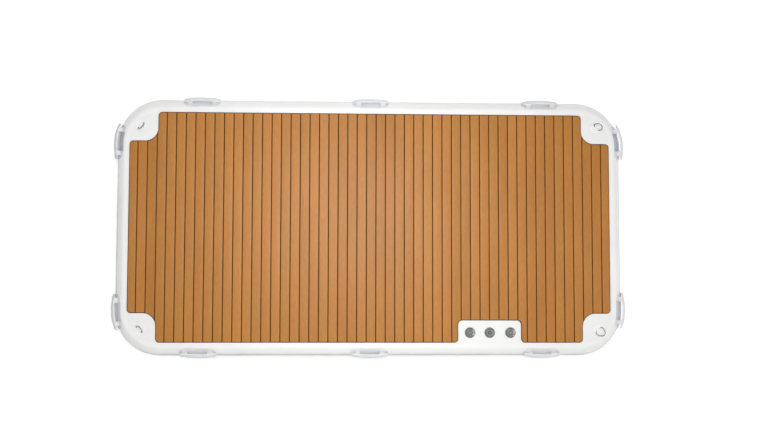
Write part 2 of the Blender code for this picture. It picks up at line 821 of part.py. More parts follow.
for side, x in (("_left", VALVE_X_LEFT), ("_right", VALVE_X_RIGHT)):
    at = (x, VALVE_Y, 0)
    # radii: guide hole, hub, seat lip, bore, seal groove, neck, flange
    radii = (0.0030, 0.0060, 0.0130, BORE_R, 0.0218, NECK_R, VALVE_FLANGE_R)
    levels = (SEAT_Z, HUB_Z0, HUB_Z1, FLANGE_Z0, FLANGE_Z1 - 0.0020, FLANGE_Z1)

    def filled(a, r, z):
        if r == 0:
            return z == 1
        if r == 1:
            return z == 1 and a % 8 in (0,)
        if r == 2:
            return z == 0 or (z == 1 and a % 8 in (0,))
        if r == 3:
            return z <= 3
        if r == 4:
            return z <= 4
        return z >= 3

    add_object("valve_body" + side, body_mesh(levels, radii, filled), "valve", at)
    add_mounting("valve", side, x)

    # disc that closes the seat from below, carried by the stem's foot
    add_object(
        "valve_disc" + side,
        revolve(ring_profile(0.0030, 0.0160, SEAT_Z - GAP - 0.0030, SEAT_Z - GAP), STEPS),
        "seal",
        (x, VALVE_Y, 0),
    )
    # stem: foot, rod through the hub, push button with a finger rib
    stem = revolve(
        [
            (0, 0.1160),
            (0.0050, 0.1160),
            (0.0050, SEAT_Z - 2 * GAP - 0.0030),
            (0.0026, SEAT_Z - 2 * GAP - 0.0030),
            (0.0026, SPRING_TOP + GAP),
            (0.0070, SPRING_TOP + GAP),
            (0.0070, 0.1480),
            (0, 0.1480),
        ],
        12,
    )
    add_object("valve_stem" + side, stem, "stem", at)
    add_object(
        "valve_spring" + side,
        spring_mesh(HUB_Z1 + GAP, SPRING_TOP, 0.0050, 0.0005, 4.5),
        "spring",
        at,
    )

    lift = add_empty("cap_axis" + side, (x, VALVE_Y, FLANGE_Z1 + GAP))
    seal_z1 = -2 * GAP
    add_object(
        "valve_cap_seal" + side,
        revolve(
            [
                (0.0194, seal_z1 - 0.0012),
                (0.0203, seal_z1 - 0.0016),
                (0.0213, seal_z1 - 0.0012),
                (0.0213, seal_z1 - 0.0004),
                (0.0203, seal_z1),
                (0.0194, seal_z1 - 0.0004),
            ],
            STEPS,
        ),
        "seal",
        parent=lift,
    )
    # cap: sloping shoulder over the flange, skirt that screws into the bore
    cap = revolve(
        [
            (0, 0.0016),
            (0.0160, 0.0016),
            (0.0160, -0.0048),
            (0.0186, -0.0048),
            (0.0186, 0),
            (0.0280, 0),
            (0.0285, 0.0006),
            (0.0285, 0.0014),
            (0.0245, 0.0042),
            (0.0215, 0.0042),
            (0.0205, 0.0034),
            (0, 0.0034),
        ],
        24,
        lambda index, step, r: r - (0.0011 if index in (6, 7) and step % 2 else 0.0),
    )
    add_object("valve_cap" + side, cap, "valve", parent=lift)

# pressure relief valve: spring-loaded poppet on a seat, under a screwed cover
at = (RELIEF_X, VALVE_Y, 0)
SEAT_TOP = 0.1400
relief_radii = (0.0110, 0.0150, 0.0190, NECK_R, VALVE_FLANGE_R)
relief_levels = (0.1300, SEAT_TOP, FLANGE_Z0, FLANGE_Z1)
add_object(
    "relief_body",
    body_mesh(
        relief_levels,
        relief_radii,
        lambda a, r, z: (
            z == 0 if r <= 1 else (z <= 2 if r == 2 else z == 2)
        ),
    ),
    "valve",
    at,
)
add_mounting("relief", "", RELIEF_X)
poppet = revolve(
    [
        (0, SEAT_TOP + GAP),
        (0.0140, SEAT_TOP + GAP),
        (0.0140, SEAT_TOP + GAP + 0.0020),
        (0.0034, SEAT_TOP + GAP + 0.0020),
        (0.0030, 0.1535),
        (0, 0.1545),
    ],
    STEPS,
)
add_object("relief_poppet", poppet, "stem", at)
# the cover has an open middle, so the spring bears on its inner lip
COVER_Z0 = FLANGE_Z1 + GAP
add_object(
    "relief_cover",
    revolve(
        [
            (0.0060, COVER_Z0 - 0.0012),
            (0.0145, COVER_Z0 - 0.0012),
            (0.0145, 0.1495),
            (0.0186, 0.1495),
            (0.0186, COVER_Z0),
            (0.0270, COVER_Z0),
            (0.0270, COVER_Z0 + 0.0018),
            (0.0255, COVER_Z0 + 0.0028),
            (0.0200, COVER_Z0 + 0.0028),
            (0.0185, COVER_Z0 + 0.0014),
            (0.0060, COVER_Z0 + 0.0008),
        ],
        24,
    ),
    "valve",
    at,
)
add_object(
    "relief_spring",
    spring_mesh(
        SEAT_TOP + GAP + 0.0020 + GAP, COVER_Z0 - 0.0012 - GAP, 0.0078, 0.0006, 4.0
    ),
    "spring",
    at,
)
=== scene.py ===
"""Looks of the inflatable dock platform: fine surfaces, finishes, floor, light, camera.

Metres, +Z up, +X along the long side, the valves on the -Y side. The origin is
the middle of the underside.
"""

import math
import random

import bmesh
import bpy
import numpy as np
from mathutils import Matrix, Vector


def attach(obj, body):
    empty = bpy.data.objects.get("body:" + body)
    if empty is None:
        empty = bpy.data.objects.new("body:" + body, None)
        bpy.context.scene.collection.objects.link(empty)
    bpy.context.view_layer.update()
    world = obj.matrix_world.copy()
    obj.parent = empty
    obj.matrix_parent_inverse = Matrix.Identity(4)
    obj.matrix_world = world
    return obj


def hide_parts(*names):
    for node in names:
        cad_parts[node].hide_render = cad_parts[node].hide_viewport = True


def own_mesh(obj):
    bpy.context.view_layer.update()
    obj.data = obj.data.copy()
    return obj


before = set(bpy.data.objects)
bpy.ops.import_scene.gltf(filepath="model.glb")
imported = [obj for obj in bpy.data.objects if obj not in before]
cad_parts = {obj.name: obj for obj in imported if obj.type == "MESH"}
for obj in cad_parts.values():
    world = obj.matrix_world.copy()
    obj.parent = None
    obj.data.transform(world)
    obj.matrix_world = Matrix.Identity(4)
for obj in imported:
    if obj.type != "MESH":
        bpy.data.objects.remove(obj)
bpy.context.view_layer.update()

# ---------------------------------------------------------------- dimensions
# the same numbers as the solids
HALF_LENGTH, HALF_WIDTH, CORNER_R = 1.540, 0.7775, 0.275
HULL_H = 0.150
SKIN_T = 0.0015
GAP = 0.0003
TAPE_T, TAPE_FLAT, TAPE_WALL_DEG = 0.0010, 0.020, 7.5
BAND_STEP = 0.0014
WALL_BULGE, WALL_T = 0.062, 0.002
WALL_LOW = BAND_STEP
WALL_HALF_CHORD = (HULL_H - WALL_LOW) / 2
WALL_Z = (HULL_H + WALL_LOW) / 2
WALL_R = (WALL_HALF_CHORD**2 + WALL_BULGE**2) / (2 * WALL_BULGE)
WALL_HALF_DEG = math.degrees(math.asin(WALL_HALF_CHORD / WALL_R))
SKIN_INSET = WALL_BULGE + 0.0009

DECK_HALF_L, DECK_HALF_W = 1.450, 0.6890
DECK_LAYER = 0.0030
DECK_Z0 = HULL_H + GAP
DECK_Z1 = DECK_Z0 + DECK_LAYER
DECK_Z2 = DECK_Z1 + GAP
DECK_TOP = DECK_Z2 + DECK_LAYER
DECK_CORNER_R = 0.023
DECK_EDGE = 0.005
NOTCH_X, NOTCH_Y, NOTCH_R = 0.170, 0.174, 0.077
PLANKS, PLANK_PITCH, GROOVE_W = 51, 0.05707, 0.0060
PANEL_X0, PANEL_X1, PANEL_Y, PANEL_R = 0.525, 0.905, -0.5565, 0.026

VALVE_Y = -0.629
VALVE_X = {"left": 0.596, "right": 0.840}
RELIEF_X = 0.715
VALVE_FLANGE_R, VALVE_HOLE_R = 0.03175, 0.0236

RING_WIRE_R, RING_HALF_W, RING_DEPTH = 0.0025, 0.0255, 0.0425
PATCH_R, PATCH_T = 0.0325, 0.0015
STRAP_T, STRAP_W, STRAP_LEG = 0.0015, 0.030, 0.016
RING_Z = HULL_H + GAP + PATCH_T + GAP + 0.0030
RING_REST_DEG = {"ne": 70.0, "nw": 125.0, "sw": 125.0, "se": 14.0}
CORNERS = {"ne": (1, 1), "nw": (-1, 1), "sw": (-1, -1), "se": (1, -1)}
RING_AT = {
    "ne": (1.377, 0.6135),
    "nw": (-1.384, 0.6065),
    "sw": (-1.375, -0.6130),
    "se": (1.375, -0.6125),
}

HANDLE_HALF_L = 0.110
HANDLE_FLANGE_HALF_W, HANDLE_FLANGE_T = 0.038, 0.0025
HANDLE_GRIP_HALF_W, HANDLE_GRIP_T = 0.018, 0.0075
HANDLE_STAND, HANDLE_TIP_STAND = 0.0235, 0.0125
HANDLE_POST_IN, HANDLE_POST_OUT = 0.058, 0.088
HANDLE_LIFT, HANDLE_TAPE_LIFT = 0.0006, 0.0012
HANDLE_DEG, HANDLE_END_GRIP_DEG, HANDLE_STIFF = 46.0, 41.5, 0.5

END_X, END_Y = HALF_LENGTH - CORNER_R, HALF_WIDTH - CORNER_R
QUARTER_S = CORNER_R * math.pi / 2
SIDE_S = 2 * END_X

scene = bpy.context.scene

# -------------------------------------------------------------------- camera

camera_data = bpy.data.cameras.new("photo_camera")
camera = bpy.data.objects.new("photo_camera", camera_data)
scene.collection.objects.link(camera)
scene.camera = camera
camera.location = (-0.20446, -0.10291, 3.7)
camera.rotation_euler = (0.03715, -0.02410, 0.00397)
camera_data.sensor_width = 36.0
camera_data.lens = 27.677
camera_data.shift_x = 0.04256
camera_data.shift_y = 0.00838
camera_data.clip_start = 0.05
camera_data.clip_end = 600.0

# ----------------------------------------------------------------- materials


class Finish:
    """A Principled material and the nodes that give it its detail."""

    def __init__(self, name, color, roughness, metallic=0.0, **sockets):
        self.mat = bpy.data.materials.new(name)
        self.mat.use_nodes = True
        self.tree = self.mat.node_tree
        self.bsdf = self.tree.nodes["Principled BSDF"]
        self.set("Base Color", (*color, 1.0))
        self.set("Roughness", roughness)
        self.set("Metallic", metallic)
        for socket, value in sockets.items():
            self.set(socket.replace("_", " "), value)
        self.mat.diffuse_color = (*color, 1.0)

    def set(self, socket, value):
        """A constant on the shader's own socket, or a link to it."""
        if isinstance(value, bpy.types.NodeSocket):
            self.tree.links.new(value, self.bsdf.inputs[socket])
        else:
            self.bsdf.inputs[socket].default_value = value

    def node(self, kind, inputs=None, **settings):
        made = self.tree.nodes.new(kind)
        for key, value in settings.items():
            setattr(made, key, value)
        for key, value in (inputs or {}).items():
            socket = made.inputs[key]
            if isinstance(value, bpy.types.NodeSocket):
                self.tree.links.new(value, socket)
            elif value is not None:
                socket.default_value = value
        return made

    def place(self, scale=(1, 1, 1), turn=0.0, shift=(0, 0, 0)):
        """Coordinates in metres on the piece, scaled."""
        at = self.node("ShaderNodeTexCoord").outputs["Object"]
        return self.mapped(at, scale, turn, shift)

    def mapped(self, vector, scale=(1, 1, 1), turn=0.0, shift=(0, 0, 0)):
        return self.node(
            "ShaderNodeMapping",
            {
                "Vector": vector,
                "Scale": scale,
                "Rotation": (0, 0, turn),
                "Location": shift,
            },
        ).outputs[0]

    def attribute(self, name, output="Vector"):
        return self.node("ShaderNodeAttribute", attribute_name=name).outputs[output]

    def noise(self, vector, scale, detail=3.0, rough=0.55, distortion=0.0):
        return self.node(
            "ShaderNodeTexNoise",
            {
                "Vector": vector,
                "Scale": scale,
                "Detail": detail,
                "Roughness": rough,
                "Distortion": distortion,
            },
        ).outputs["Fac"]

    def cells(self, vector, scale, feature="F1", output="Distance"):
        return self.node(
            "ShaderNodeTexVoronoi", {"Vector": vector, "Scale": scale}, feature=feature
        ).outputs[output]

    def bands(self, vector, period, direction="X", distortion=0.0):
        """Sine ridges with this spacing in metres."""
        return self.node(
            "ShaderNodeTexWave",
            {
                "Vector": vector,
                "Scale": 2 * math.pi / (20 * period),
                "Distortion": distortion,
                "Detail": 1.0,
                "Detail Scale": 1.5,
            },
            bands_direction=direction,
        ).outputs["Fac"]

    def math(self, operation, a, b=None, c=None, clamp=False):
        made = self.node(
            "ShaderNodeMath", {0: a, 1: b, 2: c}, operation=operation, use_clamp=clamp
        )
        return made.outputs[0]

    def span(self, value, a, b, c, d):
        """Value from a to b becomes c to d, held at the ends."""
        return self.node(
            "ShaderNodeMapRange",
            {
                "Value": value,
                "From Min": a,
                "From Max": b,
                "To Min": c,
                "To Max": d,
            },
        ).outputs[0]

    def mix(self, share, a, b, blend="MIX"):
        made = self.node("ShaderNodeMix", data_type="RGBA", blend_type=blend)
        for index, value in ((0, share), (6, a), (7, b)):
            socket = made.inputs[index]
            if isinstance(value, bpy.types.NodeSocket):
                self.tree.links.new(value, socket)
            elif index == 0:
                socket.default_value = value
            else:
                socket.default_value = (*value, 1.0)
        return made.outputs[2]

    def shade(self, color, factor):
        """A colour times a number."""
        return self.node(
            "ShaderNodeVectorMath", {0: color, "Scale": factor}, operation="SCALE"
        ).outputs[0]

    def bump(self, height, strength, distance, over=None):
        inputs = {"Height": height, "Strength": strength, "Distance": distance}
        if over is not None:
            inputs["Normal"] = over
        return self.node("ShaderNodeBump", inputs).outputs[0]

    def edge_wear(self):
        """High on outward edges, low in creases."""
        return self.node("ShaderNodeNewGeometry").outputs["Pointiness"]


def coated_fabric(name, color, roughness, coords, weave=0.0011, warm=None, dimple=0.0, painted_low_shade=None):
    """Woven base under a satin coating: the weave just shows, the gloss is uneven."""
    f = Finish(name, color, roughness, **{"Specular_IOR_Level": 0.45})
    cloth = coords(f)
    body = f.place()
    soil = f.noise(body, 1.7, 4.0, 0.6)
    cloud = f.noise(body, 9.0, 3.0, 0.55)
    tint = f.mix(f.span(soil, 0.35, 0.75, 0.0, 1.0), color, warm or color)
    tone = f.math(
        "MULTIPLY",
        f.span(cloud, 0.3, 0.7, 0.985, 1.012),
        f.span(f.noise(cloth, 260.0, 2.0), 0.3, 0.7, 0.992, 1.006),
    )
    if painted_low_shade:
        # a grey painted shade low on the wall, stronger towards -X and -Y
        low, high, least = painted_low_shade
        xyz = f.node("ShaderNodeSeparateXYZ", {0: body}).outputs
        ragged = f.math("ADD", xyz["Z"], f.span(f.noise(body, 14.0, 4.0, 0.6), 0.3, 0.7, -0.003, 0.003))
        shaded_side = f.math("ADD", f.math("MULTIPLY", xyz["X"], -0.42), f.math("MULTIPLY", xyz["Y"], -1.15))
        amount = f.math("MULTIPLY", f.span(shaded_side, -0.6, 0.5, 0.15, 1.0), f.span(ragged, low, high, 1.0 - least, 0.0))
        # less of the painted shade on the corners towards -X
        wide = f.span(f.math("MULTIPLY", xyz["Y"], xyz["Y"]), 0.22, 0.42, 0.0, 1.0)
        less_shade_at_corners = f.math("MULTIPLY", f.span(xyz["X"], -1.40, -1.22, 0.55, 0.0), wide)
        amount = f.math("MULTIPLY", amount, f.math("SUBTRACT", 1.0, less_shade_at_corners))
        tone = f.math("MULTIPLY", tone, f.math("SUBTRACT", 1.0, amount))
    f.set("Base Color", f.shade(tint, tone))
    warp = f.bands(cloth, weave, "X")
    weft = f.bands(cloth, weave * 1.06, "Y")
    threads = f.math("MULTIPLY", warp, weft)
    fine = f.bump(threads, 0.16, 0.00012)
    if dimple:
        fine = f.bump(f.noise(body, 26.0, 2.0, 0.4), dimple, 0.0012, fine)
    f.set("Normal", fine)
    gloss = f.noise(body, 34.0, 3.0, 0.6)
    f.set("Roughness", f.span(gloss, 0.3, 0.7, roughness - 0.05, roughness + 0.07))
    return f.mat


def flat_cloth(f):
    return f.place()


def swept_cloth(f):
    return f.attribute("Cloth")


def foam_planks():
    """Brushed foam: streaks along each plank, and every plank a little different."""
    gold = (0.459, 0.192, 0.0345)
    red = (0.463, 0.181, 0.0315)
    f = Finish("foam_brown", gold, 0.50, **{"Specular_IOR_Level": 0.42})
    hue = f.attribute("plank_hue", "Fac")
    tone = f.attribute("plank_tone", "Fac")
    at = f.place()
    streak = f.noise(f.mapped(at, (520, 9, 1)), 1.0, 4.0, 0.62)
    hair = f.noise(f.mapped(at, (1500, 34, 1)), 1.0, 2.0, 0.6)
    patch = f.noise(f.mapped(at, (16, 5.5, 1), 0.0, (3.1, 1.7, 0)), 1.0, 3.0, 0.55)
    drift = f.noise(f.mapped(at, (9, 2.4, 1), 0.0, (8.3, 4.9, 0)), 1.0, 2.0, 0.5)
    blotch = f.noise(f.mapped(at, (70, 26, 1), 0.0, (1.3, 7.7, 0)), 1.0, 3.0, 0.6)
    share = f.math("ADD", hue, f.span(patch, 0.3, 0.7, -0.42, 0.42), clamp=True)
    base = f.mix(share, gold, red)
    level = f.math("MULTIPLY", f.span(tone, 0.0, 1.0, 0.945, 1.055), 1.0)
    for grain, low, high in (
        (streak, 0.93, 1.06),
        (hair, 0.955, 1.04),
        (drift, 0.95, 1.05),
        (blotch, 0.945, 1.055),
    ):
        level = f.math("MULTIPLY", level, f.span(grain, 0.28, 0.72, low, high))
    f.set("Base Color", f.shade(base, level))
    pores = f.cells(at, 1900.0)
    rough = f.bump(pores, 0.22, 0.00016)
    f.set("Normal", f.bump(f.math("ADD", streak, hair), 0.30, 0.00035, rough))
    f.set("Roughness", f.span(streak, 0.3, 0.7, 0.44, 0.54))
    return f.mat


def foam_dark():
    f = Finish("foam_dark", (0.080, 0.030, 0.005), 0.85, **{"Specular_IOR_Level": 0.12})
    at = f.place()
    level = f.span(f.noise(at, 420.0, 3.0), 0.3, 0.7, 0.82, 1.18)
    f.set("Base Color", f.shade(f.mix(0.0, (0.080, 0.030, 0.005), (0, 0, 0)), level))
    f.set("Normal", f.bump(f.cells(at, 1500.0), 0.35, 0.0003))
    f.set("Roughness", f.span(f.noise(at, 80.0), 0.3, 0.7, 0.80, 0.92))
    return f.mat


def moulded_rubber():
    """Handles: fine spark texture, a little shine, painted shade in the creases, on the rail under the grip and
    low down.
    """
    color = (0.770, 0.773, 0.798)
    f = Finish("moulded_handle", color, 0.46, **{"Specular_IOR_Level": 0.42})
    at = f.place()
    depth = f.attribute("depth", "Fac")
    wear = f.span(f.edge_wear(), 0.49, 0.56, 0.0, 0.35)
    level = f.span(f.noise(at, 38.0, 4.0, 0.6), 0.3, 0.7, 0.965, 1.03)
    # painted shade: darker in the creases
    crease_shade = f.span(f.edge_wear(), 0.44, 0.50, 0.62, 1.0)
    tint = f.mix(wear, color, (0.83, 0.832, 0.84))
    # painted shade on the rail under the grip, as much as the node number depth says
    tint = f.mix(depth, tint, (0.46, 0.455, 0.515))
    # painted shade low on the handle, stronger on the end towards -X
    xyz = f.node("ShaderNodeSeparateXYZ", {0: at}).outputs
    most = f.span(xyz["X"], -1.46, -1.30, 0.44, 0.26)
    painted_low_shade = f.math("SUBTRACT", 1.0, f.math("MULTIPLY", most, f.span(xyz["Z"], 0.118, 0.152, 1.0, 0.0)))
    f.set("Base Color", f.shade(tint, f.math("MULTIPLY", f.math("MULTIPLY", level, crease_shade), painted_low_shade)))
    pebble = f.cells(at, 1250.0)
    f.set("Normal", f.bump(pebble, 0.20, 0.00018))
    f.set("Roughness", f.span(f.noise(at, 55.0, 3.0), 0.3, 0.7, 0.40, 0.54))
    return f.mat


def steel(name, color, roughness, along=(1, 1, 1)):
    f = Finish(name, color, roughness, 1.0)
    at = f.place()
    brush = f.noise(f.mapped(at, along), 2600.0, 2.0, 0.6)
    smear = f.noise(at, 160.0, 3.0, 0.6)
    f.set("Base Color", f.shade(f.mix(0.0, color, color), f.span(smear, 0.3, 0.7, 0.9, 1.06)))
    f.set("Roughness", f.span(smear, 0.3, 0.7, roughness - 0.05, roughness + 0.09))
    f.set("Normal", f.bump(brush, 0.05, 0.00004))
    return f.mat


def plastic(name, color, roughness, worn, grain=1700.0):
    """Injection-moulded plastic: spark texture, scuffed outward edges, darker in the grooves."""
    f = Finish(name, color, roughness, **{"Specular_IOR_Level": 0.62})
    at = f.place()
    wear = f.math(
        "MULTIPLY",
        f.span(f.edge_wear(), 0.505, 0.58, 0.0, 0.8),
        f.span(f.noise(at, 420.0, 3.0), 0.35, 0.6, 0.3, 1.0),
    )
    level = f.span(f.noise(at, 120.0, 4.0, 0.6), 0.3, 0.7, 0.90, 1.10)
    # darker in the creases and grooves
    crease_darkening = f.span(f.edge_wear(), 0.43, 0.495, 0.45, 1.0)
    f.set("Base Color", f.shade(f.mix(wear, color, worn), f.math("MULTIPLY", level, crease_darkening)))
    f.set("Normal", f.bump(f.cells(at, grain), 0.14, 0.00012))
    f.set("Roughness", f.span(f.noise(at, 190.0), 0.3, 0.7, roughness - 0.06, roughness + 0.07))
    return f.mat


def dished(name, color, roughness, worn, centres, rings, glint_strength):
    """Turned plastic with rings painted lighter and darker as the light and shade on its relief, and a painted
    glint to +X.

    centres: middle of the pieces and half the distance between their axes;
    rings: (radius, factor) pairs of the painted ring shade and highlight; the last argument: how strong the
    painted glint is.
    """
    mat = plastic(name, color, roughness, worn)
    f = Finish.__new__(Finish)
    f.mat, f.tree = mat, mat.node_tree
    f.bsdf = f.tree.nodes["Principled BSDF"]
    at = f.place()
    xyz = f.node("ShaderNodeSeparateXYZ", {0: at})
    middle, half = centres
    off = f.math("SUBTRACT", xyz.outputs["X"], middle)
    dx = f.math("SUBTRACT", off, f.math("MULTIPLY", f.math("SIGN", off), half))
    dy = f.math("SUBTRACT", xyz.outputs["Y"], VALVE_Y)
    r = f.math("SQRT", f.math("ADD", f.math("MULTIPLY", dx, dx), f.math("MULTIPLY", dy, dy)))
    # painted shade and highlight: each ring's factor darkens or lightens the colour
    factor = None
    for (r0, a), (r1, b) in zip(rings, rings[1:]):
        step = f.span(r, r0, r1, 0.0, b - a)
        factor = f.math("ADD", factor if factor is not None else rings[0][1], step)
    before = f.bsdf.inputs["Base Color"].links[0].from_socket
    tinted = f.shade(before, factor)
    # painted glint: a pale patch on the +X side of the rim
    painted_glint = f.math(
        "MULTIPLY",
        f.math("MULTIPLY", f.span(dx, 0.012, 0.019, 0.0, glint_strength), f.span(r, 0.0262, 0.0280, 1.0, 0.25)),
        f.span(f.noise(at, 120.0, 3.0, 0.6), 0.44, 0.60, 0.10, 1.0),
    )
    f.set("Base Color", f.mix(painted_glint, tinted, (0.80, 0.80, 0.80)))
    return mat


def rubber(name, color):
    f = Finish(name, color, 0.62, **{"Specular_IOR_Level": 0.35})
    at = f.place()
    dust = f.span(f.noise(at, 300.0, 4.0), 0.42, 0.75, 0.0, 0.5)
    f.set("Base Color", f.mix(dust, color, tuple(min(1, 2.6 * c) for c in color)))
    f.set("Normal", f.bump(f.noise(at, 2200.0, 2.0), 0.2, 0.0001))
    f.set("Roughness", f.span(dust, 0.0, 0.5, 0.55, 0.75))
    return f.mat


def twisted_yarn():
    color = (0.80, 0.80, 0.78)
    f = Finish("yarn", color, 0.85)
    at = f.place()
    twist = f.bands(f.mapped(at, (1, 1, 1), 0.7), 0.0016, "Z", 1.2)
    f.set("Base Color", f.shade(f.mix(0.0, color, color), f.span(twist, 0, 1, 0.82, 1.0)))
    f.set("Normal", f.bump(twist, 0.5, 0.0004))
    return f.mat


def webbing():
    """Coated strap: ribs across its width."""
    color = (0.92, 0.92, 0.915)
    f = Finish("strap_webbing", color, 0.5, **{"Specular_IOR_Level": 0.4})
    cloth = f.attribute("Cloth")
    ribs = f.bands(cloth, 0.0017, "Y")
    cross = f.bands(cloth, 0.0012, "X")
    weave = f.math("MULTIPLY", ribs, f.span(cross, 0, 1, 0.6, 1.0))
    f.set("Base Color", f.shade(f.mix(0.0, color, color), f.span(weave, 0, 1, 0.93, 1.02)))
    f.set("Normal", f.bump(weave, 0.35, 0.00025))
    f.set("Roughness", f.span(f.noise(f.place(), 90.0), 0.3, 0.7, 0.44, 0.58))
    return f.mat


FACE = coated_fabric(
    "hull_face", (0.868, 0.869, 0.869), 0.40, flat_cloth, warm=(0.860, 0.857, 0.845), dimple=0.05
)
WALL = coated_fabric(
    "hull_wall", (0.870, 0.872, 0.875), 0.38, swept_cloth, warm=(0.865, 0.861, 0.851), dimple=0.06,
    # painted shade low on the wall: the heights over which it fades out, and the darkest factor it leaves
    painted_low_shade=(0.110, 0.131, 0.56),
)
TAPE = coated_fabric(
    "seam_tape", (0.880, 0.881, 0.881), 0.33, swept_cloth, 0.0009, (0.885, 0.882, 0.874)
)
PATCH = coated_fabric(
    "ring_patch", (0.93, 0.93, 0.93), 0.38, flat_cloth, 0.0009, (0.922, 0.920, 0.912)
)
PLANK = foam_planks()
DARK = foam_dark()
GRIP = moulded_rubber()
WEBBING = webbing()
RING = steel("ring_steel", (0.30, 0.30, 0.31), 0.22)
SPRING = steel("spring_steel", (0.55, 0.55, 0.56), 0.26)
VALVE = plastic("valve_grey", (0.200, 0.202, 0.203), 0.28, (0.40, 0.40, 0.40))
# the ring tables are painted shade and highlight, and each last number the painted glint towards +X
COVER = dished(
    "relief_grey",
    (0.158, 0.159, 0.160),
    0.26,
    (0.40, 0.40, 0.40),
    (RELIEF_X, 0.0),
    ((0.0, 0.30), (0.0110, 0.35), (0.0128, 1.90), (0.0170, 1.75), (0.0190, 0.70), (0.0215, 0.80), (0.0235, 1.15), (0.0262, 0.70)),
    0.25,
)
CAP = dished(
    "cap_grey",
    (0.205, 0.208, 0.206),
    0.22,
    (0.42, 0.42, 0.42),
    (0.718, 0.122),
    ((0.0, 1.05), (0.0085, 1.05), (0.0100, 0.75), (0.0190, 0.95), (0.0212, 1.15), (0.0238, 0.72), (0.0265, 0.36)),
    0.95,
)
STEM = plastic("stem_nylon", (0.50, 0.50, 0.49), 0.40, (0.62, 0.62, 0.61))
SEAL = rubber("seal_rubber", (0.028, 0.028, 0.029))
YARN = twisted_yarn()

# ------------------------------------------------------------------- builders


def signed_volume(mesh):
    mesh.calc_loop_triangles()
    co = np.empty(len(mesh.vertices) * 3)
    mesh.vertices.foreach_get("co", co)
    co = co.reshape(-1, 3)
    tri = np.empty(len(mesh.loop_triangles) * 3, np.int64)
    mesh.loop_triangles.foreach_get("vertices", tri)
    a, b, c = (co[tri.reshape(-1, 3)[:, n]] for n in range(3))
    return float((a * np.cross(b, c)).sum() / 6)


def settle(name, mesh, mat, body, replaces=(), sharp=32.0):
    """Makes the object: faces out, shaded smooth, riding on its body."""
    if signed_volume(mesh) < 0:
        mesh.flip_normals()
    mesh.shade_smooth()
    mesh.set_sharp_from_angle(angle=math.radians(sharp))
    mesh.materials.append(mat)
    obj = bpy.data.objects.new(name, mesh)
    scene.collection.objects.link(obj)
    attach(obj, body)
    if replaces:
        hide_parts(*([replaces] if isinstance(replaces, str) else replaces))
    return obj


def mesh_of(name, bm):
    bmesh.ops.recalc_face_normals(bm, faces=bm.faces)
    mesh = bpy.data.meshes.new(name)
    bm.to_mesh(mesh)
    bm.free()
    return mesh


def sheet_mesh(name, points, lengths_u, lengths_v):
    """A closed tube of quads from points[u][v], round both ways, with its cloth map in metres."""
    nu, nv = points.shape[:2]
    index = np.arange(nu * nv).reshape(nu, nv)
    u1, v1 = np.roll(index, -1, 0), np.roll(index, -1, 1)
    both = np.roll(u1, -1, 1)
    faces = np.stack([index, u1, both, v1], -1).reshape(-1, 4)
    mesh = bpy.data.meshes.new(name)
    mesh.from_pydata(points.reshape(-1, 3).tolist(), [], faces.tolist())
    cloth = mesh.uv_layers.new(name="Cloth")
    u0, u9 = lengths_u[:-1], lengths_u[1:]
    v0, v9 = lengths_v[:-1], lengths_v[1:]
    corner = np.zeros((nu, nv, 4, 2))
    for n, (us, vs) in enumerate(((u0, v0), (u9, v0), (u9, v9), (u0, v9))):
        corner[:, :, n, 0] = us[:, None]
        corner[:, :, n, 1] = vs[None, :]
    cloth.data.foreach_set("uv", corner.astype(np.float32).ravel())
    return mesh


def lattice(cells, position, periodic=False, value=None):
    """The outer surface of a set of occupied lattice cells, with a number on each node."""
    bm = bmesh.new()
    verts = {}
    depth = bm.verts.layers.float.new("depth") if value else None

    def vert(i, j, k):
        if periodic:
            i %= periodic
        key = (i, j, k)
        if key not in verts:
            verts[key] = bm.verts.new(position(i, j, k))
            if value:
                verts[key][depth] = value(i, j, k)
        return verts[key]

    sides = (
        ((-1, 0, 0), ((0, 0, 0), (0, 0, 1), (0, 1, 1), (0, 1, 0))),
        ((1, 0, 0), ((1, 0, 0), (1, 1, 0), (1, 1, 1), (1, 0, 1))),
        ((0, -1, 0), ((0, 0, 0), (1, 0, 0), (1, 0, 1), (0, 0, 1))),
        ((0, 1, 0), ((0, 1, 0), (0, 1, 1), (1, 1, 1), (1, 1, 0))),
        ((0, 0, -1), ((0, 0, 0), (0, 1, 0), (1, 1, 0), (1, 0, 0))),
        ((0, 0, 1), ((0, 0, 1), (1, 0, 1), (1, 1, 1), (0, 1, 1))),
    )
    for i, j, k in sorted(cells):
        for (di, dj, dk), corners in sides:
            ni = (i + di) % periodic if periodic else i + di
            if (ni, j + dj, k + dk) in cells:
                continue
            bm.faces.new([vert(i + a, j + b, k + c) for a, b, c in corners])
    return bm


def revolve(profile, steps, radius_of=None, height_of=None):
    """Turns a closed (r, z) profile about Z. Points on the axis are shared."""
    bm = bmesh.new()
    rings = []
    for index, (r, z) in enumerate(profile):
        if r < 1e-9:
            rings.append([bm.verts.new((0, 0, z))])
            continue
        ring = []
        for n in range(steps):
            a = 2 * math.pi * n / steps
            rr = radius_of(r, z, a) if radius_of else r
            zz = height_of(r, z, a) if height_of else z
            ring.append(bm.verts.new((rr * math.cos(a), rr * math.sin(a), zz)))
        rings.append(ring)
    for index, ring in enumerate(rings):
        after = rings[(index + 1) % len(rings)]
        if len(ring) == 1 and len(after) == 1:
            continue
        for n in range(steps):
            m = (n + 1) % steps
            unique = []
            for corner in (
                ring[n % len(ring)],
                ring[m % len(ring)],
                after[m % len(after)],
                after[n % len(after)],
            ):
                if corner not in unique:
                    unique.append(corner)
            bm.faces.new(unique)
    return bm


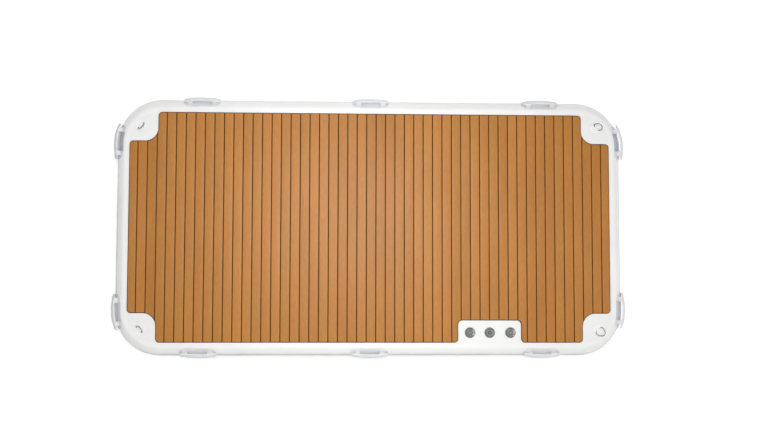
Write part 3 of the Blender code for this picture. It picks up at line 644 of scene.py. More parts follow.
def rounded(profile, radius, segments=4):
    """A closed profile whose corners are filleted where there is room."""
    out = []
    count = len(profile)
    for n, p in enumerate(profile):
        a, b, c = (Vector((*q, 0)) for q in (profile[n - 1], p, profile[(n + 1) % count]))
        if b.x < 1e-9:
            out.append(p)
            continue
        d1, d2 = (a - b), (c - b)
        turn = math.pi - d1.angle(d2)
        reach = min(radius * math.tan(turn / 2), 0.45 * d1.length, 0.45 * d2.length)
        if turn < math.radians(12) or reach < 1e-5:
            out.append(p)
            continue
        start, end = b + d1.normalized() * reach, b + d2.normalized() * reach
        for m in range(segments + 1):
            t = m / segments
            q = start * (1 - t) ** 2 + b * 2 * t * (1 - t) + end * t**2
            out.append((q.x, q.y))
    return out


def tube(points, radius, sides, closed=False, normal=None):
    bm = bmesh.new()
    rings = []
    count = len(points)
    section = None
    for n, p in enumerate(points):
        if closed:
            before, after = points[n - 1], points[(n + 1) % count]
        else:
            before, after = points[max(n - 1, 0)], points[min(n + 1, count - 1)]
        tangent = (after - before).normalized()
        if normal is not None:
            side = normal.cross(tangent).normalized()
        else:
            if section is None:
                section = tangent.orthogonal().normalized()
            side = (section - tangent * section.dot(tangent)).normalized()
            section = side
        up = tangent.cross(side).normalized()
        rings.append(
            [
                bm.verts.new(
                    p
                    + side * radius * math.cos(2 * math.pi * (s + 0.5) / sides)
                    + up * radius * math.sin(2 * math.pi * (s + 0.5) / sides)
                )
                for s in range(sides)
            ]
        )
    for n in range(count if closed else count - 1):
        first, second = rings[n], rings[(n + 1) % count]
        for s in range(sides):
            t = (s + 1) % sides
            bm.faces.new([first[s], first[t], second[t], second[s]])
    if not closed:
        bm.faces.new(rings[0][::-1])
        bm.faces.new(rings[-1])
    return bm


def arc(cx, cy, r, start, end, segments):
    return [
        (
            cx + r * math.cos(math.radians(start + (end - start) * n / segments)),
            cy + r * math.sin(math.radians(start + (end - start) * n / segments)),
        )
        for n in range(segments + 1)
    ]


# ------------------------------------------------------------- hull, all round

CORNER_STEPS = 48
STRAIGHT_STEP = 0.04


def hull_stations():
    """Centre, direction and running length of the stations, anticlockwise from (+X, 0)."""
    rows = []

    def straight(start, end, angle):
        length = (end - start).length
        count = max(1, int(round(length / STRAIGHT_STEP)))
        for n in range(count):
            p = start + (end - start) * (n / count)
            rows.append((p.x, p.y, angle, length / count, 0.0))

    def corner(cx, cy, angle):
        for n in range(CORNER_STEPS):
            share = n / CORNER_STEPS
            rows.append((cx, cy, angle + 90 * share, QUARTER_S / CORNER_STEPS, share))

    x, y = END_X, END_Y
    straight(Vector((x, 0)), Vector((x, y)), 0)
    corner(x, y, 0)
    straight(Vector((x, y)), Vector((-x, y)), 90)
    corner(-x, y, 90)
    straight(Vector((-x, y)), Vector((-x, -y)), 180)
    corner(-x, -y, 180)
    straight(Vector((-x, -y)), Vector((x, -y)), 270)
    corner(x, -y, 270)
    straight(Vector((x, -y)), Vector((x, 0)), 360)
    data = np.array(rows)
    lengths = np.concatenate([[0.0], np.cumsum(data[:, 3])])
    return data, lengths


STATIONS, STATION_S = hull_stations()
BEND = np.sin(np.pi * STATIONS[:, 4]) ** 0.7  # 1 in the middle of a corner, 0 on the straights
_cos, _sin = np.cos(np.radians(STATIONS[:, 2])), np.sin(np.radians(STATIONS[:, 2]))


def waves(s, seeds, longest, count):
    """A smooth uneven line between -1 and 1 that closes on itself round the hull."""
    rng = random.Random(seeds)
    total = STATION_S[-1]
    base = max(1, int(total / longest))
    value = np.zeros_like(s)
    scale = 0.0
    for n in range(count):
        turns = base + rng.randrange(base + n * base)
        size = 1.0 / (1 + 0.5 * n)
        value += size * np.sin(2 * math.pi * turns * s / total + rng.uniform(0, 6.28))
        scale += size
    return value / scale


def hull_ring(insets, heights):
    """Points round the hull: insets and heights are (stations, profile) or (profile,)."""
    insets = np.broadcast_to(insets, (len(STATIONS), np.shape(insets)[-1]))
    heights = np.broadcast_to(heights, insets.shape)
    reach = CORNER_R - insets
    return np.stack(
        [
            STATIONS[:, 0:1] + reach * _cos[:, None],
            STATIONS[:, 1:2] + reach * _sin[:, None],
            heights,
        ],
        -1,
    )


_s = STATION_S[:-1]
FOLD = 0.5 + 0.5 * np.cos(2 * math.pi * _s / 0.027 + 2.2 * waves(_s, 5, 0.5, 5))
FOLD *= 0.55 + 0.45 * waves(_s, 9, 0.12, 6)
SWELL = waves(_s, 3, 0.9, 7)


def wall_dent(deg):
    """How far the wall's face lies inside its true arc: small puckers in the corners, by the tapes."""
    deg = np.asarray(deg, float)
    edge = WALL_HALF_DEG - TAPE_WALL_DEG
    near = np.exp(-(((edge - np.minimum(np.abs(deg), edge)) / 13.0) ** 2))
    pucker = 0.0008 * (BEND * np.clip(FOLD, 0, 1))[:, None] * near[None, :]
    broad = 0.00025 * (0.5 + 0.5 * SWELL[:, None] * np.cos(np.radians(deg))[None, :])
    return pucker + broad


def wall_ring(deg, radius, dent=True):
    """Insets and heights of the points at these angles of the wall."""
    a = np.radians(deg)
    r = np.broadcast_to(radius, a.shape)[None, :] - (wall_dent(deg) if dent else 0.0)
    r = np.broadcast_to(r, (len(STATIONS), len(a)))
    return WALL_R - r * np.cos(a), WALL_Z + r * np.sin(a)


def profile_lengths(points):
    step = np.linalg.norm(np.diff(np.concatenate([points, points[:, :1]], 1), axis=1), axis=2)
    return np.concatenate([[0.0], np.cumsum(step.mean(0))])


# side wall
outer_deg = np.linspace(-WALL_HALF_DEG, WALL_HALF_DEG, 41)
inner_deg = np.linspace(WALL_HALF_DEG, -WALL_HALF_DEG, 17)
out_i, out_z = wall_ring(outer_deg, WALL_R)
in_i, in_z = wall_ring(inner_deg, WALL_R - WALL_T, dent=False)
wall_points = hull_ring(np.concatenate([out_i, in_i], 1), np.concatenate([out_z, in_z], 1))
settle(
    "wall_strip",
    sheet_mesh("wall_strip", wall_points, STATION_S, profile_lengths(wall_points)),
    WALL,
    "hull",
    "side_wall",
    sharp=50,
)


def seam_tape(name, sign, node):
    """Tape with soft edges: down the wall, over the corner and along the face."""
    face = HULL_H if sign > 0 else WALL_LOW
    low = WALL_HALF_DEG - TAPE_WALL_DEG
    legs = low + np.array([0.0, 0.35, 0.9, 2.2, 3.5, 4.8, 6.1])
    lift = 0.0004 + TAPE_T * np.array([0.45, 0.85, 1.0, 1.0, 1.0, 1.0, 1.0])
    out_i, out_z = wall_ring(sign * legs, WALL_R + lift)
    in_i, in_z = wall_ring(sign * legs, WALL_R + 0.0004)
    ragged = 0.0005 * waves(_s, 21 if sign > 0 else 22, 0.18, 8)[:, None]
    ends = SKIN_INSET + np.array([-0.0004, 0.006, TAPE_FLAT - 0.0012, TAPE_FLAT - 0.0004, TAPE_FLAT])
    end_z = face + sign * (GAP + TAPE_T * np.array([1.0, 1.0, 1.0, 0.85, 0.45]))
    slide = np.array([0.0, 0.0, 1.0, 1.0, 1.0])
    flat_i = ends[None, :] + ragged * slide[None, :]
    flat_z = np.broadcast_to(end_z, flat_i.shape)
    back = np.array([TAPE_FLAT, 0.010, 0.0])
    back_i = SKIN_INSET + back[None, :] + ragged * np.array([1.0, 0.0, 0.0])[None, :]
    back_z = np.full(back_i.shape, face + sign * GAP)
    points = hull_ring(
        np.concatenate([out_i, flat_i, back_i, in_i[:, ::-1]], 1),
        np.concatenate([out_z, flat_z, back_z, in_z[:, ::-1]], 1),
    )
    mesh = sheet_mesh(name, points, STATION_S, profile_lengths(points))
    settle(name, mesh, TAPE, "hull", node, sharp=50)


seam_tape("tape_upper", 1, "upper_seam_tape")
seam_tape("tape_lower", -1, "lower_seam_tape")


def face_mesh(name, levels):
    """Rings of the outline at (inset, z), closed over at both ends."""
    bm = bmesh.new()
    rings = [
        [bm.verts.new(p) for p in hull_ring(np.array([inset]), np.array([z]))[:, 0]]
        for inset, z in levels
    ]
    count = len(rings[0])
    bm.faces.new(rings[0][::-1])
    bm.faces.new(rings[-1])
    for lower, upper in zip(rings, rings[1:]):
        for n in range(count):
            m = (n + 1) % count
            bm.faces.new([lower[n], lower[m], upper[m], upper[n]])
    return mesh_of(name, bm)


top = settle(
    "top_face",
    face_mesh("top_face", ((SKIN_INSET, HULL_H - SKIN_T), (SKIN_INSET, HULL_H))),
    FACE,
    "hull",
    "top_skin",
)
holes = bmesh.new()
for x in (VALVE_X["left"], RELIEF_X, VALVE_X["right"]):
    bmesh.ops.create_cone(
        holes,
        cap_ends=True,
        segments=64,
        radius1=VALVE_HOLE_R,
        radius2=VALVE_HOLE_R,
        depth=0.02,
        matrix=Matrix.Translation((x, VALVE_Y, HULL_H)),
    )
cutter = bpy.data.objects.new("hole_cutter", mesh_of("hole_cutter", holes))
scene.collection.objects.link(cutter)
pierce = top.modifiers.new("holes", "BOOLEAN")
pierce.operation, pierce.solver, pierce.object = "DIFFERENCE", "EXACT", cutter
bpy.context.view_layer.update()
pierced = bpy.data.meshes.new_from_object(
    top.evaluated_get(bpy.context.evaluated_depsgraph_get())
)
top.modifiers.clear()
top.data = pierced
bpy.data.objects.remove(cutter, do_unlink=True)

band = SKIN_INSET + TAPE_FLAT + 0.004
settle(
    "bottom_face",
    face_mesh(
        "bottom_face",
        (
            (band + 0.0040, 0.0),
            (band + 0.0030, 0.00012),
            (band + 0.0020, 0.0007),
            (band + 0.0010, 0.00128),
            (band, BAND_STEP),
            (SKIN_INSET, BAND_STEP),
            (SKIN_INSET, BAND_STEP + SKIN_T),
            (band, BAND_STEP + SKIN_T),
            (band + 0.0020, SKIN_T + 0.0007),
            (band + 0.0040, SKIN_T),
        ),
    ),
    FACE,
    "hull",
    "bottom_skin",
)

# -------------------------------------------------------------------------- deck


def deck_chain(e, top_side):
    """The pad's outline from -X to +X along one long side, set in by e."""
    inner_x, inner_y = DECK_HALF_L - NOTCH_X, DECK_HALF_W - NOTCH_Y
    r, c, n = NOTCH_R + e, DECK_CORNER_R - e, DECK_CORNER_R
    right = (
        arc(inner_x - n, DECK_HALF_W - n, c, 90, 0, 8)
        + arc(inner_x + NOTCH_R, inner_y + NOTCH_R, r, 180, 270, 20)
        + arc(DECK_HALF_L - n, inner_y - n, c, 90, 0, 8)
    )
    left = [(-x, y) for x, y in reversed(right)]
    if top_side:
        return left + right
    p = PANEL_R
    panel = (
        arc(PANEL_X0 - n, -DECK_HALF_W + n, c, 270, 360, 8)
        + arc(PANEL_X0 + p, PANEL_Y - p, p + e, 180, 90, 8)
        + arc(PANEL_X1 - p, PANEL_Y - p, p + e, 90, 0, 8)
        + arc(PANEL_X1 + n, -DECK_HALF_W + n, c, 180, 270, 8)
    )
    return [(x, -y) for x, y in left] + panel + [(x, -y) for x, y in right]


def clip_chain(chain, x0, x1):
    """The part of a left-to-right chain between two x values, with points at both."""
    out = []
    for (ax, ay), (bx, by) in zip(chain, chain[1:]):
        if bx < x0 or ax > x1:
            continue
        for x in (x0, x1):
            if ax < x < bx:
                t = (x - ax) / (bx - ax)
                out.append((x, ay + t * (by - ay)))
        for x, y in ((ax, ay), (bx, by)):
            if x0 <= x <= x1:
                out.append((x, y))
    out.sort(key=lambda p: p[0])
    # keep the chain's own order where several points share an x
    order = {}
    for index, p in enumerate(chain):
        order.setdefault((round(p[0], 9), round(p[1], 9)), index)
    clean = []
    for p in out:
        if not clean or math.dist(clean[-1], p) > 1e-7:
            clean.append(p)
    groups, current = [], []
    for p in clean:
        if current and abs(p[0] - current[-1][0]) > 1e-9:
            groups.append(current)
            current = []
        current.append(p)
    groups.append(current)
    result = []
    for group in groups:
        if len(group) > 1:
            group.sort(key=lambda p: order.get((round(p[0], 9), round(p[1], 9)), 0))
        result += group
    return result


def set_in(polygon, distance):
    """An anticlockwise polygon moved inwards, mitred."""
    out = []
    count = len(polygon)
    for n in range(count):
        a, b, c = (Vector(polygon[m % count]) for m in (n - 1, n, n + 1))
        d1, d2 = (b - a).normalized(), (c - b).normalized()
        n1, n2 = Vector((-d1.y, d1.x)), Vector((-d2.y, d2.x))
        half = (n1 + n2).normalized()
        out.append(tuple(b + half * (distance / max(0.35, half.dot(n1)))))
    return out


def slab(bm, polygon, z0, z1, edge, steps=3, layer=None, values=None):
    """A plate with rounded upper edges."""
    rows = [(0.0, z0), (0.0, z1 - edge)]
    for n in range(1, steps + 1):
        a = math.pi / 2 * n / steps
        rows.append((edge * (1 - math.cos(a)), z1 - edge + edge * math.sin(a)))
    rings = []
    for inset, z in rows:
        outline = set_in(polygon, inset) if inset else polygon
        rings.append([bm.verts.new((x, y, z)) for x, y in outline])
    faces = [bm.faces.new(rings[0][::-1]), bm.faces.new(rings[-1])]
    count = len(polygon)
    for lower, upper in zip(rings, rings[1:]):
        for n in range(count):
            m = (n + 1) % count
            faces.append(bm.faces.new([lower[n], lower[m], upper[m], upper[n]]))
    if layer:
        for ring in rings:
            for v in ring:
                for one, value in zip(layer, values):
                    v[one] = value
    return faces


base = bmesh.new()
outline = deck_chain(0.0, False) + list(reversed(deck_chain(0.0, True)))
slab(base, outline, DECK_Z0, DECK_Z1, 0.0006, 2)
base_mesh = bpy.data.meshes.new("deck_base")
base.to_mesh(base_mesh)
base.free()
deck_base = settle("deck_base", base_mesh, DARK, "hull", "deck_base_layer")

# the planks stand on the dark layer, which shows between them and round the edge
PLANK_ROUND = 0.0007
upper_chain, lower_chain = deck_chain(DECK_EDGE, True), deck_chain(DECK_EDGE, False)
planks = bmesh.new()
tone_layer = planks.verts.layers.float.new("plank_tone")
hue_layer = planks.verts.layers.float.new("plank_hue")
rng = random.Random(41)
tones, hues = [], []
for n in range(PLANKS):
    tones.append(min(1.0, max(0.0, rng.gauss(0.5, 0.26))))
    hues.append(min(1.0, max(0.0, rng.gauss(0.45, 0.30))))
for n in range(PLANKS):
    x0 = (n - PLANKS / 2) * PLANK_PITCH + GROOVE_W / 2
    x1 = (n + 1 - PLANKS / 2) * PLANK_PITCH - GROOVE_W / 2
    x0 = max(x0, -DECK_HALF_L + DECK_EDGE)
    x1 = min(x1, DECK_HALF_L - DECK_EDGE)
    low, high = clip_chain(lower_chain, x0, x1), clip_chain(upper_chain, x0, x1)
    polygon = low + high[::-1]
    clean = []
    for p in polygon:
        if not clean or math.dist(clean[-1], p) > 2e-5:
            clean.append(p)
    if math.dist(clean[0], clean[-1]) < 2e-5:
        clean.pop()
    slab(
        planks,
        clean,
        DECK_Z2,
        DECK_TOP,
        PLANK_ROUND,
        3,
        (tone_layer, hue_layer),
        (tones[n], hues[n]),
    )
plank_mesh = bpy.data.meshes.new("deck_planks")
planks.to_mesh(plank_mesh)
planks.free()
deck_planks = settle(
    "deck_planks", plank_mesh, PLANK, "hull", "deck_top_layer", sharp=28
)

# ------------------------------------------------------------------------ handles


def outline_frame(s):
    """Plan point and outward normal at a length s along the outline."""
    total = 4 * END_Y + 2 * SIDE_S + 4 * QUARTER_S
    s %= total
    runs = (
        ("line", END_Y, Vector((HALF_LENGTH, 0)), Vector((0, 1))),
        ("arc", QUARTER_S, Vector((END_X, END_Y)), 0.0),
        ("line", SIDE_S, Vector((END_X, HALF_WIDTH)), Vector((-1, 0))),
        ("arc", QUARTER_S, Vector((-END_X, END_Y)), 90.0),
        ("line", 2 * END_Y, Vector((-HALF_LENGTH, END_Y)), Vector((0, -1))),
        ("arc", QUARTER_S, Vector((-END_X, -END_Y)), 180.0),
        ("line", SIDE_S, Vector((-END_X, -HALF_WIDTH)), Vector((1, 0))),
        ("arc", QUARTER_S, Vector((END_X, -END_Y)), 270.0),
        ("line", END_Y, Vector((HALF_LENGTH, -END_Y)), Vector((0, 1))),
    )
    for kind, length, at, way in runs:
        if s <= length:
            if kind == "line":
                return at + way * s, Vector((way.y, -way.x))
            a = math.radians(way) + s / CORNER_R
            normal = Vector((math.cos(a), math.sin(a)))
            return at + normal * CORNER_R, normal
        s -= length
    return runs[0][2], Vector((1, 0))


def wall_surface(s, deg, height):
    at, normal = outline_frame(s)
    a = math.radians(deg)
    reach = (WALL_R + height) * math.cos(a) - WALL_R
    flat = at + normal * reach
    return Vector((flat.x, flat.y, WALL_Z + (WALL_R + height) * math.sin(a)))


HANDLE_U = (0.0, 0.016, 0.032, 0.046, 0.054, 0.058, 0.068, 0.078, 0.088, 0.092, 0.097, 0.102, 0.107, 0.110)
HANDLE_U = tuple(-u for u in reversed(HANDLE_U[1:])) + HANDLE_U
HANDLE_V = (-1.0, -0.965, -0.845, -0.80, -0.48, -0.43, -0.26, -0.04, 0.05, 0.10, 0.30, 0.43, 0.48)
HANDLE_V += (0.64, 0.84, 0.965, 1.0)
# the grip's own lines across, those from 4 to 12
GRIP_V = dict(zip(range(4, 13), (-1.0, -0.88, -0.5, -0.1, 0.1, 0.24, 0.56, 0.88, 1.0)))
WINDOW = (3, 8)  # the flange is open between these lines, under the grip


def smooth(t):
    t = min(1.0, max(0.0, t))
    return t * t * (3 - 2 * t)


def handle_point(i, j, k, s0, grip_deg):
    u = HANDLE_U[i]
    far = abs(u)
    taper = 1.0 - 0.52 * smooth((far - 0.082) / 0.030) ** 1.3
    v = HANDLE_V[j] * HANDLE_FLANGE_HALF_W * taper
    if k <= 1:
        over_tape = (HANDLE_DEG + math.degrees(v / WALL_R) - 64.0) / 5.0
        w = HANDLE_LIFT + HANDLE_TAPE_LIFT * min(1.0, max(0.0, over_tape))
        if k == 1:
            w += HANDLE_FLANGE_T
            last = len(HANDLE_V) - 1
            if j in (0, last) or far > 0.109:
                w -= 0.0004
            elif j in (1, last - 1) or far > 0.106:
                w += 0.0004  # a slight rim round the flange
            elif far < HANDLE_POST_IN - 0.002 and j > WINDOW[1]:
                w -= 0.0005  # the rail above the window lies a little lower
    else:
        g = GRIP_V[j]
        v = g * HANDLE_GRIP_HALF_W * (1.0 - 0.24 * smooth((far - 0.098) / 0.012))
        bow = 1 - (u / HANDLE_HALF_L) ** 2
        middle = HANDLE_TIP_STAND + (HANDLE_STAND - HANDLE_TIP_STAND) * bow
        thick = HANDLE_GRIP_T * (1.0 - 0.55 * smooth((far - 0.098) / 0.012))
        edge = 0.52 - 0.08 * g * g if abs(g) < 0.8 else (0.40 if abs(g) < 0.95 else 0.22)
        w = middle + thick * (edge if k == 3 else -edge)
    deg = (HANDLE_DEG if k <= 1 else grip_deg) + math.degrees(v / (WALL_R + w))
    point = wall_surface(s0 + u, deg, w)
    if k > 1:
        at, normal = outline_frame(s0)
        flat = at + Vector((-normal.y, normal.x)) * u
        flat += normal * ((WALL_R + w) * math.cos(math.radians(deg)) - WALL_R)
        point = point.lerp(Vector((flat.x, flat.y, point.z)), HANDLE_STIFF)
    return point


def handle_rail_shade(i, j, k, strength):
    """How much painted shade the rail under the grip gets at a node, a quarter more beside the posts."""
    far = abs(HANDLE_U[i])
    if k > 1 or j < WINDOW[1] or far > HANDLE_POST_IN:
        return 0.0
    return strength * (1.25 if far > 0.045 else 1.0)


def handle_cells():
    cells = set()
    for i in range(len(HANDLE_U) - 1):
        middle = abs(HANDLE_U[i] + HANDLE_U[i + 1]) / 2
        for j in range(len(HANDLE_V) - 1):
            if middle > HANDLE_POST_IN or not WINDOW[0] <= j < WINDOW[1]:
                cells.add((i, j, 0))
        for j in range(min(GRIP_V), max(GRIP_V)):
            cells.add((i, j, 2))
            if HANDLE_POST_IN < middle < HANDLE_POST_OUT:
                cells.add((i, j, 1))
    return cells


HANDLE_CELLS = handle_cells()
mid_back = END_Y + QUARTER_S + SIDE_S / 2
mid_left = END_Y + QUARTER_S + SIDE_S + QUARTER_S + END_Y
mid_front = mid_left + END_Y + QUARTER_S + SIDE_S / 2
HANDLES = (
    ("back_left", mid_back + 1.023),
    ("back_middle", mid_back + 0.003),
    ("back_right", mid_back - 1.033),
    ("front_left", mid_front - 1.031),
    ("front_middle", mid_front - 0.005),
    ("front_right", mid_front + 1.033),
    ("left_back", mid_left - 0.515),
    ("left_front", mid_left + 0.514),
    ("right_back", 0.533),
    ("right_front", -0.5005),
)
# how much painted shade the rails under the grips get: most on the end handles, little on the long sides
RAIL_PAINTED_SHADE = {"left_back": 0.85, "right_back": 0.75, "left_front": 0.25, "right_front": 0.45}
for name, s0 in HANDLES:
    on_end = name.startswith(("left", "right"))
    grip_deg = HANDLE_END_GRIP_DEG if on_end else HANDLE_DEG
    bm = lattice(
        HANDLE_CELLS,
        lambda i, j, k: handle_point(i, j, k, s0, grip_deg),
        value=lambda i, j, k: handle_rail_shade(i, j, k, RAIL_PAINTED_SHADE.get(name, 0.12)),
    )
    mesh = mesh_of("grab_handle_" + name, bm)
    obj = settle(
        "grab_handle_" + name, mesh, GRIP, "hull", "handle_" + name, sharp=180
    )
    fine = obj.modifiers.new("fine", "SUBSURF")
    fine.levels = fine.render_levels = 2

# ------------------------------------------------------------------------ D-rings


def strap_outline():
    """(u, z) outline of the strap: flat legs and a hump over the bar."""
    low = -0.0030
    inner_r, outer_r = 0.0030, 0.0030 + STRAP_T
    reach = math.sqrt(outer_r**2 - (low + STRAP_T) ** 2)
    start = math.degrees(math.atan2(low + STRAP_T, reach))
    outer = [
        (outer_r * math.cos(math.radians(a)), outer_r * math.sin(math.radians(a)))
        for a in [start + (180 - 2 * start) * n / 22 for n in range(23)]
    ]
    inner = [
        (inner_r * math.cos(math.radians(a)), inner_r * math.sin(math.radians(a)))
        for a in [180 - 180 * n / 18 for n in range(19)]
    ]
    end = STRAP_LEG + outer_r
    top_z = low + STRAP_T
    right = [(inner_r, low), (0.012, low), (end - 0.0002, low), (end, low + 0.0003)]
    right += [(end, top_z - 0.0004), (end - 0.0004, top_z), (0.012, top_z)]
    left = [(-x, z) for x, z in reversed(right)]
    return right + outer + left + inner


def ring_line():
    """The ring's centre line in its own plane: x along the bar, y away from it."""
    w, d, bend = RING_HALF_W, RING_DEPTH, 0.006
    points = [(-w + bend + (2 * w - 2 * bend) * n / 10, 0.0) for n in range(11)]
    points += arc(w - bend, bend, bend, -90, 0, 8)[1:]
    points += [
        (w * math.cos(math.radians(a)), bend + (d - bend) * math.sin(math.radians(a)))
        for a in [180 * n / 56 for n in range(1, 56)]
    ]
    points += [(-x, y) for x, y in reversed(arc(w - bend, bend, bend, -90, 0, 8)[1:])]
    return [Vector((x, y, 0)) for x, y in points]


for name, (sx, sy) in CORNERS.items():
    out = Vector((sx, sy, 0)).normalized()
    axis = Vector((out.y, -out.x, 0))
    hinge = Vector((*RING_AT[name], RING_Z))
    station = Matrix.Translation(hinge) @ Matrix((axis, out, Vector((0, 0, 1)))).transposed().to_4x4()

    edge = rounded([(0, 0), (PATCH_R, 0), (PATCH_R, PATCH_T * 0.6), (PATCH_R - 0.0012, PATCH_T), (0, PATCH_T)], 0.0005, 4)
    patch = revolve(edge, 128)
    patch.transform(Matrix.Translation((hinge.x, hinge.y, HULL_H + GAP)))
    settle(
        "ring_patch_" + name,
        mesh_of("ring_patch_" + name, patch),
        PATCH,
        "hull",
        "d_ring_patch_" + name,
    )

    # strap: the outline is narrowed a little at its two edges, which rounds them
    profile = strap_outline()
    widths = (-0.5, -0.485, -0.46, -0.2, 0.2, 0.46, 0.485, 0.5)
    draw = (0.00035, 0.0001, 0.0, 0.0, 0.0, 0.0, 0.0001, 0.00035)
    closed = set_in([(x, z) for x, z in profile], 0.0)
    sections = []
    for share, inward in zip(widths, draw):
        outline = set_in(profile, inward)
        sections.append([(share * STRAP_W, u, z) for u, z in outline])
    grid = np.array(sections)
    bm = bmesh.new()
    cloth = bm.loops.layers.uv.new("Cloth")
    rows = [[bm.verts.new(p) for p in row] for row in grid]
    run = np.concatenate([[0.0], np.cumsum(np.linalg.norm(np.diff(np.array(profile), axis=0), axis=1))])
    run = np.append(run, run[-1] + math.dist(profile[0], profile[-1]))
    count = len(profile)
    for a in range(len(rows) - 1):
        for n in range(count):
            m = (n + 1) % count
            face = bm.faces.new([rows[a][n], rows[a + 1][n], rows[a + 1][m], rows[a][m]])
            for loop, (across, along) in zip(
                face.loops,
                ((a, n), (a + 1, n), (a + 1, n + 1), (a, n + 1)),
            ):
                loop[cloth].uv = (widths[across] * STRAP_W, run[along])
    for row, flip in ((rows[0], False), (rows[-1], True)):
        face = bm.faces.new(row[::-1] if flip else row)
        for loop in face.loops:
            loop[cloth].uv = (loop.vert.co.y, loop.vert.co.z)
    bm.transform(station)
    settle(
        "ring_strap_" + name,
        mesh_of("ring_strap_" + name, bm),
        WEBBING,
        "hull",
        "d_ring_strap_" + name,
        sharp=40,
    )

    lean = Matrix.Rotation(math.radians(RING_REST_DEG[name]), 4, "X")
    ring = tube(ring_line(), RING_WIRE_R, 20, closed=True, normal=Vector((0, 0, 1)))
    ring.transform(station @ lean)
    settle(
        "ring_" + name,
        mesh_of("ring_" + name, ring),
        RING,
        "ring_" + name,
        "d_ring_" + name,
        sharp=60,
    )

# ------------------------------------------------------------------------- valves

FLANGE_Z0 = HULL_H + GAP + 0.0008 + GAP
FLANGE_Z1 = FLANGE_Z0 + 0.0035
NUT_Z1 = HULL_H - SKIN_T - GAP
HUB_Z0, HUB_Z1, SEAT_Z = 0.1255, 0.1285, 0.1225
BORE_R, NECK_R, SPRING_TOP = 0.0190, 0.0230, 0.1447
TURN = 120


def turned(name, profile, x, mat, body, node, slot, steps=TURN, z=0.0, sharp=35, **shape):
    bm = revolve(profile, steps, **shape)
    bm.transform(Matrix.Translation((x, VALVE_Y, z)))
    return settle(name, mesh_of(name, bm), mat, body, node, sharp=sharp)


def polar_body(name, levels, radii, filled, x, node, body="hull"):
    """A turned body in polar lattice cells, with a chamfered flange."""
    steps = 96
    cells = {
        (a, r, z)
        for a in range(steps)
        for r in range(len(radii) - 1)
        for z in range(len(levels) - 1)
        if filled(a, r, z)
    }
    last_r, last_z = len(radii) - 1, len(levels) - 1

    def place(a, r, z):
        angle = 2 * math.pi * a / steps
        radius, height = radii[r], levels[z]
        if r == last_r and z == last_z:
            radius -= 0.0007
        elif r == last_r and z == last_z - 1:
            height = levels[last_z] - 0.0007
        return Vector((radius * math.cos(angle), radius * math.sin(angle), height))

    bm = lattice(cells, place, periodic=steps)
    bm.transform(Matrix.Translation((x, VALVE_Y, 0)))
    return settle(name, mesh_of(name, bm), VALVE, body, node)


def notched(count, depth, r_from, z_from=-1.0, z_to=1.0, power=2.0):
    def radius(r, z, a):
        if r < r_from or not z_from <= z <= z_to:
            return r
        return r - depth * (0.5 - 0.5 * math.cos(count * a)) ** power

    return radius


def spring_line(z0, z1, radius, wire, turns, per_turn=40):
    """A helix whose end coils lie flat."""
    count = int(turns * per_turn)
    low, high = z0 + wire, z1 - wire
    points = []
    for n in range(count + 1):
        t = n / count
        dead = 0.16
        if t < dead:
            rise = 0.5 * t * t / dead
        elif t > 1 - dead:
            rise = 1 - dead - 0.5 * (1 - t) ** 2 / dead
        else:
            rise = t - dead / 2
        rise /= 1 - dead
        a = 2 * math.pi * turns * t
        points.append(
            Vector((radius * math.cos(a), radius * math.sin(a), low + (high - low) * rise))
        )
    return points


def mounting(prefix, suffix, x):
    turned(
        prefix + "_washer" + suffix,
        rounded([(0.0240, HULL_H + GAP), (0.0305, HULL_H + GAP), (0.0305, HULL_H + GAP + 0.0008), (0.0240, HULL_H + GAP + 0.0008)], 0.0003, 3),
        x,
        SEAL,
        "hull",
        prefix + "_gasket" + suffix,
        "seal",
    )
    nut = rounded(
        [
            (NECK_R + 0.0004, NUT_Z1 - 0.0080),
            (0.0300, NUT_Z1 - 0.0080),
            (0.0300, NUT_Z1),
            (NECK_R + 0.0004, NUT_Z1),
        ],
        0.0007,
        3,
    )
    turned(
        prefix + "_ring_nut" + suffix,
        nut,
        x,
        VALVE,
        "hull",
        prefix + "_nut" + suffix,
        "valve",
        radius_of=notched(10, 0.0014, 0.0288, power=6.0),
    )


def cap_height(r, z, a):
    """Raised finger ribs in the dished ring of the cap."""
    if not (0.0099 < r < 0.0213 and z > 0.0015):
        return z
    lift = 0.0
    for n in range(6):
        off = abs(r * math.sin(a - math.pi * n / 3)) if math.cos(a - math.pi * n / 3) > 0 else 1
        lift = max(lift, 1.0 - smooth((off - 0.0007) / 0.0006))
    return z + 0.0011 * lift


